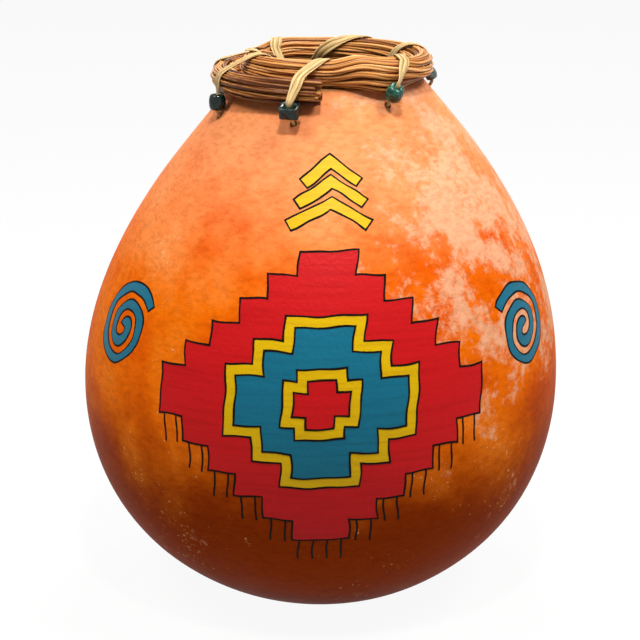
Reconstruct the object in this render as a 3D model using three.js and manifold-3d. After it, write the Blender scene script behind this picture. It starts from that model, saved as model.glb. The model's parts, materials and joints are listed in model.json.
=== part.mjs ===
// A painted gourd vessel: a hollow dried gourd whose cut mouth carries a wound coil of plant stems.
// One raffia strip whip-stitches the coil on through holes drilled under the edge.
// It threads a stone bead at each stitch.
// Millimetres, +Z up. The origin is the centre of the flat base, and the front of the vessel faces -Y.
import * as THREE from "three";
import { mergeVertices } from "three/addons/utils/BufferGeometryUtils.js";
import Module from "manifold-3d";

// Gourd shell
const baseRadius = 38;
const baseCurve = 18;
const lowerHandle = 74;
const bellyRadius = 118;
const bellyHeight = 107;
const upperHandle = 75;
const rimRadius = 43.5;
const rimHeight = 259;
const neckLength = 28;
const neckSlopeAngle = THREE.MathUtils.degToRad(37.5);
const neckLean = 5;
const collarDepth = 25;
const wall = 5;

// Stem coil
const stemDiameter = 2.1;
const stemGap = 0.4;
const hexRingCount = 2;
const coilStartAngle = 264;
const coilEndAngle = -200;
const climbStartAngle = 150;
const climbEndAngle = 95;
const tuckStartAngle = -150;
const tuckShift = 8;
const bulgeCentreAngle = -62;
const bulgeHalfAngle = 32;
const bulgeStretchShare = 0.45;
const bulgeSqueezeShare = 0.07;
const bulgeShift = 3.5;
const bulgeTiltAngle = THREE.MathUtils.degToRad(25);
const slumpCentreAngle = -28;
const slumpHalfAngle = 60;
const slumpShift = 5;
const startStaggerAngle = 1.6;
const endStaggerAngle = 4;
const startScatter = 2.4;
const endScatter = 1.7;
const cutMarginAngle = 1;
const stationCount = 22;
const stemSideCount = 6;

// Raffia strip
const ribbonWidth = 5.5;
const ribbonThickness = 0.7;
const cordDiameter = 1.6;
const cordClearance = 0.5;
const holeClearance = 0.8;
const cordLead = 1.2;
const knotDiameter = 4.4;
const knotSpacing = 7;
const overStepCount = 14;
const slantDelayShare = 0.1;
const dropShare = 0.75;

// Beads
const barrelDiameter = 8;
const barrelLength = 7.6;
const barrelEndDiameter = 5.4;
const smallBarrelShare = 0.75;
const slabLength = 9.5;
const slabWidth = 7.5;
const slabThickness = 5.5;
const slabCorner = 1.8;
const holeBelowBead = 1.8;

// Stitches, in degrees: the bead's azimuth, then where the strip lands on the coil and leaves it inside.
// Then how far the bead's bore leans out, in degrees, and how far the bead stands off the neck.
const stitchPlan = [
  { beadAt: 9, landAt: 10, leaveAt: 29, kind: "smallBarrel", lean: -20, standOff: 0 },
  { beadAt: 62, landAt: 64, leaveAt: 100, kind: "slab", lean: -10, standOff: 0 },
  { beadAt: 121, landAt: 122, leaveAt: 136, kind: "barrel", lean: -4, standOff: 0 },
  { beadAt: 155, landAt: 166, leaveAt: 204, kind: "barrel", lean: -10, standOff: 0 },
  { beadAt: 203, landAt: 204, leaveAt: 219, kind: "barrel", lean: -4, standOff: 0 },
  { beadAt: 252, landAt: 254, leaveAt: 274, kind: "slab", lean: 24, standOff: 4 },
  { beadAt: 302, landAt: 313, leaveAt: 338, kind: "barrel", lean: 36, standOff: 3.5 },
];

// Fits
const seatGap = 0.35;
const turnGap = 0.45;
const ribbonGap = 0.75;

const stemMaterial = new THREE.MeshStandardMaterial({ color: 0x9a5a2a, roughness: 0.45, metalness: 0 });
const gourdMaterial = new THREE.MeshStandardMaterial({ color: 0xd2691e, roughness: 0.5, metalness: 0 });
const raffiaMaterial = new THREE.MeshStandardMaterial({ color: 0xd9bc78, roughness: 0.7, metalness: 0 });
const beadMaterial = new THREE.MeshStandardMaterial({ color: 0x1f5a50, roughness: 0.3, metalness: 0 });

const wasm = await Module();
wasm.setup();

// Small helpers

const degrees = THREE.MathUtils.degToRad;

function directionOf(angle) {
  return new THREE.Vector2(Math.cos(angle), Math.sin(angle));
}

function smooth(t) {
  return THREE.MathUtils.smoothstep(t, 0, 1);
}

// A closed geometry as a solid that can be cut.
function solidOf(geometry) {
  const bare = geometry.clone();
  bare.deleteAttribute("normal");
  bare.deleteAttribute("uv");
  const merged = mergeVertices(bare, 1e-4);
  return new wasm.Manifold(
    new wasm.Mesh({
      numProp: 3,
      vertProperties: merged.attributes.position.array,
      triVerts: new Uint32Array(merged.index.array),
    }),
  );
}

// A solid as a geometry again.
function geometryOf(solid) {
  const mesh = solid.getMesh();
  const geometry = new THREE.BufferGeometry();
  geometry.setAttribute("position", new THREE.BufferAttribute(mesh.vertProperties, 3));
  geometry.setIndex(new THREE.BufferAttribute(mesh.triVerts, 1));
  geometry.computeVertexNormals();
  return geometry;
}

// A tube through rings of points, closed at both ends.
function tubeOf(rings) {
  const sides = rings[0].length;
  const positions = rings.flat().flatMap((p) => [p.x, p.y, p.z]);
  const index = [];
  for (let i = 0; i + 1 < rings.length; i++) {
    for (let k = 0; k < sides; k++) {
      const a = i * sides + k;
      const b = i * sides + ((k + 1) % sides);
      index.push(a, b, a + sides, b, b + sides, a + sides);
    }
  }
  const last = (rings.length - 1) * sides;
  for (let k = 1; k + 1 < sides; k++) {
    index.push(0, k + 1, k);
    index.push(last, last + k, last + k + 1);
  }
  const geometry = new THREE.BufferGeometry();
  geometry.setAttribute("position", new THREE.Float32BufferAttribute(positions, 3));
  geometry.setIndex(index);
  geometry.computeVertexNormals();
  return geometry;
}

// The least clear distance between parts of one route that are further apart along it than the skip.
function leastSelfGap(points, thickness, skip) {
  const along = [0];
  for (let i = 1; i < points.length; i++) along.push(along[i - 1] + points[i].distanceTo(points[i - 1]));
  let least = Infinity;
  for (let i = 0; i < points.length; i++) {
    for (let j = i + 1; j < points.length; j++) {
      if (along[j] - along[i] > skip) least = Math.min(least, points[i].distanceTo(points[j]) - thickness);
    }
  }
  return least;
}

// Gourd shell: two Bezier curves meet at the belly, and the upper one ends on the straight neck.

const rimWall = wall / Math.cos(neckSlopeAngle);
const neckDown = new THREE.Vector2(Math.sin(neckSlopeAngle), -Math.cos(neckSlopeAngle));
const neckOut = new THREE.Vector2(Math.cos(neckSlopeAngle), Math.sin(neckSlopeAngle));
const rimEdge = new THREE.Vector2(rimRadius, rimHeight);
const innerEdge = new THREE.Vector2(rimRadius - rimWall, rimHeight);

// The mouth stands off the belly's axis, as on a gourd that grew lying down.
function leanAt(z) {
  return neckLean * smooth((z - bellyHeight) / (rimHeight - collarDepth - bellyHeight));
}

// A point at an azimuth, a distance from the leaning axis and a height.
function place(azimuth, r, z) {
  return new THREE.Vector3(r * Math.cos(azimuth) + leanAt(z), r * Math.sin(azimuth), z);
}

// A point by its distance down the neck from the cut edge and its distance off the neck's outside.
function neckPoint(down, out) {
  return rimEdge.clone().addScaledVector(neckDown, down).addScaledVector(neckOut, out);
}

function neckCoordinates(point) {
  const from = point.clone().sub(rimEdge);
  return { down: from.dot(neckDown), out: from.dot(neckOut) };
}

const lowerCurve = new THREE.CubicBezierCurve(
  new THREE.Vector2(baseRadius, 0),
  new THREE.Vector2(baseRadius + baseCurve, 0),
  new THREE.Vector2(bellyRadius, bellyHeight - lowerHandle),
  new THREE.Vector2(bellyRadius, bellyHeight),
);
const upperCurve = new THREE.CubicBezierCurve(
  new THREE.Vector2(bellyRadius, bellyHeight),
  new THREE.Vector2(bellyRadius, bellyHeight + upperHandle),
  neckPoint(neckLength, 0),
  rimEdge,
);

// Points of a curve moved inwards by a depth.
function insetPoints(curve, steps, depth) {
  const points = [];
  for (let i = 0; i <= steps; i++) {
    const tangent = curve.getTangent(i / steps);
    const inward = new THREE.Vector2(-tangent.y, tangent.x);
    points.push(curve.getPoint(i / steps).addScaledVector(inward, depth));
  }
  return points;
}

function gourdProfile() {
  const lowerSteps = 9;
  const upperSteps = 11;
  const outside = [...lowerCurve.getPoints(lowerSteps), ...upperCurve.getPoints(upperSteps).slice(1)];
  const lowerInside = insetPoints(lowerCurve, lowerSteps, wall);
  const upperInside = insetPoints(upperCurve, upperSteps, wall).slice(1, -1);
  const inside = [...lowerInside, ...upperInside, innerEdge];
  return [new THREE.Vector2(0, 0), ...outside, ...inside.reverse(), new THREE.Vector2(0, wall)];
}

function gourdBlank() {
  const segments = 44;
  const geometry = new THREE.LatheGeometry(gourdProfile(), segments).rotateX(Math.PI / 2);
  const position = geometry.attributes.position;
  for (let i = 0; i < position.count; i++) position.setX(i, position.getX(i) + leanAt(position.getZ(i)));
  return solidOf(geometry);
}

// Stem coil: the stems lie in hexagonal rows that stretch to an upright oval where the coil bulges.
// It slumps outwards there too.
// Azimuths fall from the cut start at the front, round the left, back and right.
// They end at the back again, where the coil is tucked in.

const stemPitch = stemDiameter + stemGap;
const layoutRadius = hexRingCount * stemPitch;
const coilRadius = layoutRadius + stemDiameter / 2;
const chordSag = (rimRadius + 2 * coilRadius) * (1 - Math.cos(Math.PI / stationCount));

// A smooth hump along the coil, 1 at its centre and 0 past its half width.
function hump(degreesRound, centre, halfWidth) {
  const share = (degreesRound - centre) / halfWidth;
  return Math.abs(share) < 1 ? Math.cos((Math.PI / 2) * share) ** 2 : 0;
}

function bulgeAt(degreesRound) {
  return hump(degreesRound, bulgeCentreAngle, bulgeHalfAngle);
}

function sectionAt(degreesRound) {
  const bulge = bulgeAt(degreesRound);
  const tilt = bulge * bulgeTiltAngle;
  return {
    long: 1 + bulgeStretchShare * bulge,
    short: 1 - bulgeSqueezeShare * bulge,
    along: new THREE.Vector2(-Math.sin(tilt), Math.cos(tilt)),
    across: new THREE.Vector2(Math.cos(tilt), Math.sin(tilt)),
  };
}

// The outermost point of a coil section in a direction, measured from the section's centre.
function supportOf(section, direction) {
  const u = layoutRadius * section.long * direction.dot(section.along);
  const v = layoutRadius * section.short * direction.dot(section.across);
  const reach = Math.hypot(u, v);
  return new THREE.Vector2()
    .addScaledVector(section.along, (layoutRadius * section.long * u) / reach)
    .addScaledVector(section.across, (layoutRadius * section.short * v) / reach)
    .addScaledVector(direction, stemDiameter / 2);
}

// The height at which a coil section rests on the cut edge.
function restHeight(r, section) {
  const directions = 144;
  let height = -Infinity;
  for (let i = 0; i < directions; i++) {
    const angle = (i * 2 * Math.PI) / directions;
    const point = supportOf(section, directionOf(angle));
    const at = r + point.x;
    if (at < rimRadius - rimWall) continue;
    const ledge = rimHeight - Math.max(0, at - chordSag - rimRadius) / Math.tan(neckSlopeAngle);
    height = Math.max(height, ledge - point.y + seatGap);
  }
  return height;
}

// The upper lap sits over the wall, and the lower lap leans on the neck outside it.
const round = sectionAt(0);
const upperRadius = rimRadius - rimWall / 2;
const upperCentre = new THREE.Vector2(upperRadius, restHeight(upperRadius, round));
const upperAt = neckCoordinates(upperCentre);
const lowerOut = coilRadius + seatGap;
const lapDistance = 2 * coilRadius + turnGap;
const lowerDown = upperAt.down + Math.sqrt(lapDistance ** 2 - (upperAt.out - lowerOut) ** 2);
const lowerRadius = neckPoint(lowerDown, lowerOut).x + chordSag;

function coilCentre(degreesRound) {
  const climb = smooth((climbStartAngle - degreesRound) / (climbStartAngle - climbEndAngle));
  const tuck = smooth((tuckStartAngle - degreesRound) / (tuckStartAngle - coilEndAngle));
  const section = sectionAt(degreesRound);
  const slump = slumpShift * hump(degreesRound, slumpCentreAngle, slumpHalfAngle);
  const shift = bulgeShift * bulgeAt(degreesRound) + slump - tuckShift * tuck;
  const r = THREE.MathUtils.lerp(lowerRadius, upperRadius, climb) + shift;
  return { section, centre: new THREE.Vector2(r, restHeight(r, section)) };
}

// Stations of the coil: every stem turns at the same azimuths, so that flat stretches stay side by side.
const stationStep = 360 / stationCount;
const stations = [];
for (let at = coilStartAngle + stationStep; at > coilEndAngle - 2 * stationStep; at -= stationStep) {
  stations.push({ degreesRound: at, ...coilCentre(at) });
}

function stemRing(station, u, v) {
  const { section, centre, degreesRound } = station;
  const middle = centre
    .clone()
    .addScaledVector(section.along, u * section.long)
    .addScaledVector(section.across, v * section.short);
  const ring = [];
  for (let k = 0; k < stemSideCount; k++) {
    const turn = (k * 2 * Math.PI) / stemSideCount;
    const r = middle.x + (stemDiameter / 2) * Math.cos(turn);
    const z = middle.y + (stemDiameter / 2) * Math.sin(turn);
    ring.push(place(degrees(degreesRound), r, z));
  }
  return ring;
}

// A stem from its own start to its own end, cut on the flat stretches between stations.
function stemRings(u, v, start, end) {
  const rings = stations.map((station) => stemRing(station, u, v));
  const ringAt = (degreesRound) => {
    const place = (stations[0].degreesRound - degreesRound) / stationStep;
    const before = Math.floor(place);
    return rings[before].map((p, k) => p.clone().lerp(rings[before + 1][k], place - before));
  };
  const between = stations
    .map((station, i) => ({ at: station.degreesRound, ring: rings[i] }))
    .filter(({ at }) => at < start - cutMarginAngle && at > end + cutMarginAngle)
    .map(({ ring }) => ring);
  return [ringAt(start), ...between, ringAt(end)];
}

function centreOf(ring) {
  return ring.reduce((sum, p) => sum.add(p), new THREE.Vector3()).divideScalar(ring.length);
}

const rimCoil = new THREE.Group();
let stemCount = 0;
let stemSelfGap = Infinity;
for (let row = -hexRingCount; row <= hexRingCount; row++) {
  for (let i = -hexRingCount; i <= hexRingCount; i++) {
    if (Math.abs(i + row) > hexRingCount) continue;
    const u = stemPitch * (i + row / 2);
    const v = stemPitch * row * Math.sin(Math.PI / 3);
    const start = coilStartAngle + startStaggerAngle * Math.sin(stemCount * startScatter);
    const end = coilEndAngle + endStaggerAngle * (1 + Math.sin(stemCount * endScatter));
    const rings = stemRings(u, v, start, end);
    stemCount += 1;
    const stem = new THREE.Mesh(tubeOf(rings), stemMaterial);
    stem.name = "rim_stem_" + String(stemCount).padStart(2, "0");
    rimCoil.add(stem);
    stemSelfGap = Math.min(stemSelfGap, leastSelfGap(rings.map(centreOf), stemDiameter, rimRadius));
  }
}

// Hull of the laps and the mouth's inner edge at an azimuth: the line that a strip pulled tight takes.

function lapsAt(azimuthDegrees) {
  return [azimuthDegrees, azimuthDegrees - 360, azimuthDegrees + 360]
    .filter((at) => at <= coilStartAngle + startStaggerAngle && at >= coilEndAngle)
    .map((at) => {
      const before = Math.floor((stations[0].degreesRound - at) / stationStep);
      const from = stations[before].degreesRound - stationStep / 2;
      const chord = Math.cos(degrees(stationStep / 2)) / Math.cos(degrees(at - from));
      const lap = coilCentre(at);
      lap.centre.x *= chord;
      return lap;
    });
}

function hullPoint(azimuthDegrees, angle, clearance) {
  const direction = directionOf(angle);
  const points = lapsAt(azimuthDegrees).map((lap) => supportOf(lap.section, direction).add(lap.centre));
  points.push(innerEdge.clone());
  const outermost = points.reduce((best, p) => (p.dot(direction) > best.dot(direction) ? p : best));
  return outermost.addScaledVector(direction, clearance);
}

// Beads: barrels and slabs, each held under the coil by the strip.

const beadBore = cordDiameter + 2 * cordClearance;

function barrelGeometry(diameter, length, endDiameter) {
  const steps = 6;
  const segments = 14;
  const half = length / 2;
  const profile = [new THREE.Vector2(beadBore / 2, -half)];
  for (let i = 0; i <= steps; i++) {
    const y = -half + (length * i) / steps;
    const swell = Math.sqrt(1 - (y / half) ** 2);
    profile.push(new THREE.Vector2((endDiameter + (diameter - endDiameter) * swell) / 2, y));
  }
  profile.push(new THREE.Vector2(beadBore / 2, half), profile[0].clone());
  return new THREE.LatheGeometry(profile, segments).rotateX(Math.PI / 2);
}

// A slab sawn from stone with its corners knocked off, and its bore through the thickness.
function slabGeometry() {
  const x = slabLength / 2;
  const y = slabWidth / 2;
  const outline = new THREE.Shape();
  outline.moveTo(-x + slabCorner, -y);
  outline.lineTo(x - slabCorner, -y);
  outline.lineTo(x, -y + slabCorner);
  outline.lineTo(x, y - slabCorner);
  outline.lineTo(x - slabCorner, y);
  outline.lineTo(-x + slabCorner, y);
  outline.lineTo(-x, y - slabCorner);
  outline.lineTo(-x, -y + slabCorner);
  outline.closePath();
  const blank = new THREE.ExtrudeGeometry(outline, { depth: slabThickness, bevelEnabled: false });
  blank.translate(0, 0, -slabThickness / 2);
  const boreSides = 10;
  const bore = new THREE.CylinderGeometry(beadBore / 2, beadBore / 2, 2 * slabThickness, boreSides);
  return geometryOf(solidOf(blank).subtract(solidOf(bore.rotateX(Math.PI / 2))));
}

const barrelSizes = [barrelDiameter, barrelLength, barrelEndDiameter];
const smallSizes = barrelSizes.map((size) => size * smallBarrelShare);
const beadShapes = {
  barrel: {
    geometry: barrelGeometry(...barrelSizes),
    radius: barrelDiameter / 2,
    length: barrelLength,
  },
  smallBarrel: { geometry: barrelGeometry(...smallSizes), radius: smallSizes[0] / 2, length: smallSizes[1] },
  slab: {
    geometry: slabGeometry(),
    radius: Math.hypot(slabLength / 2, slabWidth / 2 - slabCorner),
    length: slabThickness,
  },
};

// How far a bead reaches in a direction as it spins on its bore.
function beadReach(shape, axis, direction) {
  const along = Math.abs(axis.dot(direction));
  return (shape.length / 2) * along + shape.radius * Math.sqrt(Math.max(0, 1 - along ** 2));
}

// The highest place on the neck where a bead, and the cord over it, stay clear of the coil.
function seatBead(azimuthDegrees, shape, axis, standOff) {
  const step = turnGap / 4;
  const out = beadReach(shape, axis, neckOut) + turnGap + standOff;
  const clears = (point, lap, reach) => {
    const away = point.clone().sub(lap.centre);
    const distance = away.length();
    away.divideScalar(distance);
    return distance - supportOf(lap.section, away).dot(away) - reach(away) >= turnGap;
  };
  const laps = lapsAt(azimuthDegrees);
  for (let down = 0; ; down += step) {
    const bead = neckPoint(down, out);
    const cordTop = bead.clone().addScaledVector(axis, shape.length / 2 + cordLead);
    const beadClears = laps.every((lap) => clears(bead, lap, (away) => beadReach(shape, axis, away)));
    if (beadClears && laps.every((lap) => clears(cordTop, lap, () => cordDiameter / 2))) return bead;
  }
}

// Each stitch: its bead under the coil, and its hole down the neck where the bead's bore leads.
const stitches = stitchPlan.map(({ beadAt, landAt, leaveAt, kind, lean, standOff }) => {
  const shape = beadShapes[kind];
  const axis = directionOf(degrees(90 - lean));
  const bead = seatBead(beadAt, shape, axis, standOff);
  const lead = (shape.length / 2 + holeBelowBead) * -axis.dot(neckDown);
  return { beadAt, landAt, leaveAt, shape, axis, bead, holeDown: neckCoordinates(bead).down + lead };
});

const beads = new THREE.Group();
stitches.forEach(({ beadAt, shape, bead, axis }, i) => {
  const azimuth = degrees(beadAt);
  const outward = new THREE.Vector3(Math.cos(azimuth), Math.sin(azimuth), 0);
  const bore = outward.clone().multiplyScalar(axis.x).setZ(axis.y);
  const across = new THREE.Vector3(-Math.sin(azimuth), Math.cos(azimuth), 0);
  const mesh = new THREE.Mesh(shape.geometry, beadMaterial);
  mesh.name = "bead_" + (i + 1);
  mesh.position.copy(place(azimuth, bead.x, bead.y));
  mesh.quaternion.setFromRotationMatrix(
    new THREE.Matrix4().makeBasis(across, bore.clone().cross(across), bore),
  );
  beads.add(mesh);
});

// Holes under the edge, square to the neck.
const holeDiameter = cordDiameter + 2 * holeClearance;

function drilledGourd() {
  let solid = gourdBlank();
  for (const { beadAt, holeDown } of stitches) {
    const azimuth = degrees(beadAt);
    const middle = neckPoint(holeDown, -wall / 2);
    const drill = new THREE.CylinderGeometry(holeDiameter / 2, holeDiameter / 2, 4 * wall, 8)
      .rotateZ(-Math.PI / 2)
      .rotateY(-neckSlopeAngle)
      .rotateZ(azimuth);
    const at = place(azimuth, middle.x, middle.y);
    solid = solid.subtract(solidOf(drill.translate(at.x, at.y, at.z)));
  }
  return geometryOf(solid);
}

const gourdShell = new THREE.Mesh(drilledGourd(), gourdMaterial);
gourdShell.name = "gourd_shell";

// Raffia strip: out of a hole, up through its bead, over the coil, and down inside to the next hole.
// Each point has its place, the way that the strip's flat side faces, and its width and thickness there.

function stripPoint(azimuthDegrees, point, facing, width, thickness) {
  const azimuth = degrees(azimuthDegrees);
  const normal = new THREE.Vector3(facing.x * Math.cos(azimuth), facing.x * Math.sin(azimuth), facing.y);
  return { at: place(azimuth, point.x, point.y), normal, width, thickness };
}

const ribbonClearance = ribbonGap + ribbonThickness / 2;

// The angle, stepping from a first one, at which a tight line from a point touches the coil.
function touchAngle(azimuthDegrees, from, first, step) {
  for (let angle = first; ; angle += step) {
    const point = hullPoint(azimuthDegrees, angle, ribbonClearance);
    if (from.clone().sub(point).dot(directionOf(angle)) <= 0) return angle;
  }
}

// The strip's points over the coil, evenly spaced, moving on round the mouth after the outer flank.
function overCoil(landAt, leaveAt, from, to) {
  const fineStep = degrees(3);
  const fromOuterLap = from.clone().sub(lapsAt(landAt)[0].centre);
  const landing = touchAngle(landAt, from, Math.atan2(fromOuterLap.y, fromOuterLap.x), fineStep);
  const leaving = touchAngle(leaveAt, to, to.clone().sub(innerEdge).angle(), -fineStep);
  const fineCount = Math.ceil((leaving - landing) / fineStep);
  const angleAt = (i) => THREE.MathUtils.lerp(landing, leaving, i / fineCount);
  const along = [0];
  for (let i = 1; i <= fineCount; i++) {
    const before = hullPoint(landAt, angleAt(i - 1), ribbonClearance);
    along.push(along[i - 1] + before.distanceTo(hullPoint(landAt, angleAt(i), ribbonClearance)));
  }
  const points = [];
  for (let k = 0; k <= overStepCount; k++) {
    const share = k / overStepCount;
    const length = share * along[fineCount];
    const i = Math.max(1, along.findIndex((at) => at >= length));
    const part = (length - along[i - 1]) / (along[i] - along[i - 1]);
    const moved = smooth((share - slantDelayShare) / (1 - slantDelayShare));
    const turn = THREE.MathUtils.lerp(landAt, leaveAt, moved);
    const point = hullPoint(turn, angleAt(i - 1), ribbonClearance);
    point.lerp(hullPoint(turn, angleAt(i), ribbonClearance), part);
    const facing = directionOf(angleAt(i - 1 + part));
    points.push(stripPoint(turn, point, facing, ribbonWidth, ribbonThickness));
  }
  return points;
}

function stitchRoute(stitch, next) {
  const { beadAt, landAt, leaveAt, shape, bead, axis, holeDown } = stitch;
  const cord = (point, facing) => stripPoint(beadAt, point, facing, cordDiameter, cordDiameter);
  const beadSide = new THREE.Vector2(axis.y, -axis.x);
  const beadTop = bead.clone().addScaledVector(axis, shape.length / 2 + cordLead);
  const drop = neckPoint(next.holeDown - holeBelowBead, -wall - 2 * cordLead);
  const nextAt = next.beadAt + (next.beadAt < beadAt ? 360 : 0);
  const dropAt = THREE.MathUtils.lerp(leaveAt, nextAt, dropShare);
  return [
    cord(neckPoint(holeDown, -wall - cordLead), neckDown),
    cord(neckPoint(holeDown, cordLead / 2), neckDown),
    cord(bead.clone().addScaledVector(axis, -shape.length / 2 - cordLead / 2), beadSide),
    cord(beadTop, beadSide),
    ...overCoil(landAt, leaveAt, beadTop, drop),
    stripPoint(dropAt, drop, neckOut.clone().negate(), cordDiameter, cordDiameter),
  ];
}

function stripRings(route) {
  const sides = 6;
  return route.map(({ at, normal, width, thickness }, i) => {
    const before = route[Math.max(0, i - 1)].at;
    const after = route[Math.min(route.length - 1, i + 1)].at;
    const tangent = after.clone().sub(before).normalize();
    const across = normal.clone().cross(tangent).normalize();
    const face = tangent.clone().cross(across);
    const ring = [];
    for (let k = 0; k < sides; k++) {
      const turn = (k * 2 * Math.PI) / sides;
      const high = Math.sin(turn) / Math.sin(Math.PI / 3);
      ring.push(
        at
          .clone()
          .addScaledVector(across, (width / 2) * Math.cos(turn))
          .addScaledVector(face, (thickness / 2) * high),
      );
    }
    return ring;
  });
}

// The strip starts in a knot inside the first hole, and its last stitch ends in a knot beside that one.
function lashingRoute() {
  const first = stitches[0];
  const knotDepth = wall + cordLead + knotDiameter;
  const knotFacing = neckDown;
  const knot = (azimuthDegrees, depth, size) =>
    stripPoint(azimuthDegrees, neckPoint(first.holeDown, -depth), knotFacing, size, size);
  const route = [
    knot(first.beadAt, knotDepth, cordDiameter),
    knot(first.beadAt, knotDepth - knotDiameter / 3, knotDiameter),
    knot(first.beadAt, knotDepth - (2 * knotDiameter) / 3, knotDiameter),
  ];
  stitches.forEach((stitch, i) => route.push(...stitchRoute(stitch, stitches[(i + 1) % stitches.length])));
  const besideDegrees = first.beadAt - THREE.MathUtils.radToDeg(knotSpacing / rimRadius);
  route.pop();
  const tailSteps = [
    [0, cordDiameter],
    [1 / 3, knotDiameter],
    [2 / 3, knotDiameter],
    [1, cordDiameter],
  ];
  for (const [share, size] of tailSteps) {
    const tail = neckPoint(first.holeDown - holeBelowBead + knotDiameter * share, -knotDepth);
    route.push(stripPoint(besideDegrees, tail, neckOut, size, size));
  }
  return route;
}

const strip = lashingRoute();
const raffiaLashing = new THREE.Mesh(tubeOf(stripRings(strip)), raffiaMaterial);
raffiaLashing.name = "raffia_lashing";
const stripSelfGap = leastSelfGap(strip.map((p) => p.at), cordDiameter, 2 * knotSpacing);
console.log("least gap of a stem to itself " + stemSelfGap.toFixed(2) + " mm");
console.log("least gap of the raffia strip to itself " + stripSelfGap.toFixed(2) + " mm");

const vessel = new THREE.Group();
vessel.add(gourdShell, rimCoil, raffiaLashing, beads);
export default vessel;
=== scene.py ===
"""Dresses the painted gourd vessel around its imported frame: skin, paint, stem coil, raffia strip and beads."""
import json
import logging
import math
import random
from collections.abc import Iterable
from dataclasses import dataclass
from enum import Enum
from functools import cached_property

import bmesh
import bpy
import numpy as np
from bpy.types import Material, Mesh, Node, NodeSocket, NodeTree, Object
from mathutils import Matrix, Vector, geometry


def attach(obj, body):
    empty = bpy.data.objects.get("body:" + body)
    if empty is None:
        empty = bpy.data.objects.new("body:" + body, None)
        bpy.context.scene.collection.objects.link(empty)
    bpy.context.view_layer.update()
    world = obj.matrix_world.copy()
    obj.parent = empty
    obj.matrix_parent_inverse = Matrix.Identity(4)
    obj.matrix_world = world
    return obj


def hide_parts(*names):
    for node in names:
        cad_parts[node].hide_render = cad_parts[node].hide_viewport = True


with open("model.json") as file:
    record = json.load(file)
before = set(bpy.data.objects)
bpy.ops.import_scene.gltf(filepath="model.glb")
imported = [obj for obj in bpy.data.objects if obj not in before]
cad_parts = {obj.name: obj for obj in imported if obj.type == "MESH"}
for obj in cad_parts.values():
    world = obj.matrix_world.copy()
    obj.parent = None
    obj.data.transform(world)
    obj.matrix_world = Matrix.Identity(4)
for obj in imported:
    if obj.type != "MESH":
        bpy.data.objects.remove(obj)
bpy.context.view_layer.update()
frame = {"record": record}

MM = 0.001
VESSEL_BODY = "vessel"

Array = np.ndarray
Colour = tuple[float, float, float, float]
Faces = list[tuple[int, ...]]
Part = tuple[Array, Faces]
Place = tuple[float, float, float]
Source = Node | NodeSocket
Span = tuple[float, float]

log = logging.getLogger("gourd_vessel")


# Small helpers


def smooth(share: Array | float) -> Array | float:
    """Eases from 0 to 1 as share goes from 0 to 1, and holds outside."""
    held = np.clip(share, 0.0, 1.0)
    return held * held * (3.0 - 2.0 * held)


def hump(at: float, centre: float, half_width: float) -> float:
    """A smooth hump, 1 at its centre and 0 past its half width."""
    share = (at - centre) / half_width
    return math.cos(0.5 * math.pi * share) ** 2 if abs(share) < 1.0 else 0.0


def direction(angle: float) -> Array:
    """The unit vector at an angle in the plane of radius and height."""
    return np.array([math.cos(angle), math.sin(angle)])


def turned(flat: Array, azimuth: float) -> Array:
    """Turns a way in the plane of radius and height to an azimuth in radians."""
    return np.array([flat[0] * math.cos(azimuth), flat[0] * math.sin(azimuth), flat[1]])


def unit(vectors: Array) -> Array:
    """Vectors, one per row or a single one, scaled to length 1."""
    return vectors / np.linalg.norm(vectors, axis=-1, keepdims=True)


def once_round(count: int) -> Array:
    """Evenly spaced angles once round, in radians."""
    return np.linspace(0.0, 2.0 * math.pi, count, endpoint=False)


def runs_along(points: Array) -> Array:
    """The run from a path's first point to each of its points."""
    steps = np.linalg.norm(np.diff(points, axis=0), axis=1)
    return np.concatenate([[0.0], np.cumsum(steps)])


def relax(values: Array, passes: int) -> Array:
    """Evens out rows of values along a path, apart from its ends.

    Args:
        values: One row per point.
        passes: How many times each row is blended with its neighbours.

    Returns:
        The evened rows.
    """
    for _ in range(passes):
        values = values.copy()
        values[1:-1] = 0.25 * values[:-2] + 0.5 * values[1:-1] + 0.25 * values[2:]
    return values


def bezier(controls: list[Span], steps: int) -> tuple[Array, Array]:
    """Samples a cubic Bezier curve.

    Args:
        controls: The four control points.
        steps: The number of stretches.

    Returns:
        The points and the unit tangents, one row each.
    """
    a, b, c, d = (np.array(point) for point in controls)
    t = np.linspace(0.0, 1.0, steps + 1)[:, None]
    points = (1 - t) ** 3 * a + 3 * (1 - t) ** 2 * t * b + 3 * (1 - t) * t**2 * c + t**3 * d
    tangents = (1 - t) ** 2 * (b - a) + 2 * (1 - t) * t * (c - b) + t**2 * (d - c)
    return points, unit(tangents)


def loft(rings: list[Array], ring_closes: bool = False) -> Part:
    """Skins a row of rings.

    Args:
        rings: Rings of equally many points, in order.
        ring_closes: True joins the last ring to the first, otherwise both ends are capped.

    Returns:
        The vertices and the faces of a closed mesh.
    """
    sides = len(rings[0])
    count = len(rings)
    vertices = np.vstack(rings)
    faces: Faces = []
    for i in range(count if ring_closes else count - 1):
        here = i * sides
        there = ((i + 1) % count) * sides
        for k in range(sides):
            after = (k + 1) % sides
            faces.append((here + k, here + after, there + after, there + k))
    if not ring_closes:
        middles = [rings[0].mean(axis=0), rings[-1].mean(axis=0)]
        first, last = len(vertices), len(vertices) + 1
        vertices = np.vstack([vertices, middles])
        start = (count - 1) * sides
        for k in range(sides):
            after = (k + 1) % sides
            faces.append((first, after, k))
            faces.append((last, start + k, start + after))
    return vertices, faces


def join_parts(parts: list[Part]) -> Part:
    """Joins meshes into one.

    Args:
        parts: The vertices and faces of each mesh.

    Returns:
        The vertices and faces of all of them, in order.
    """
    joined: Faces = []
    start = 0
    for vertices, faces in parts:
        joined += [tuple(start + k for k in face) for face in faces]
        start += len(vertices)
    return np.vstack([vertices for vertices, _ in parts]), joined


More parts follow.
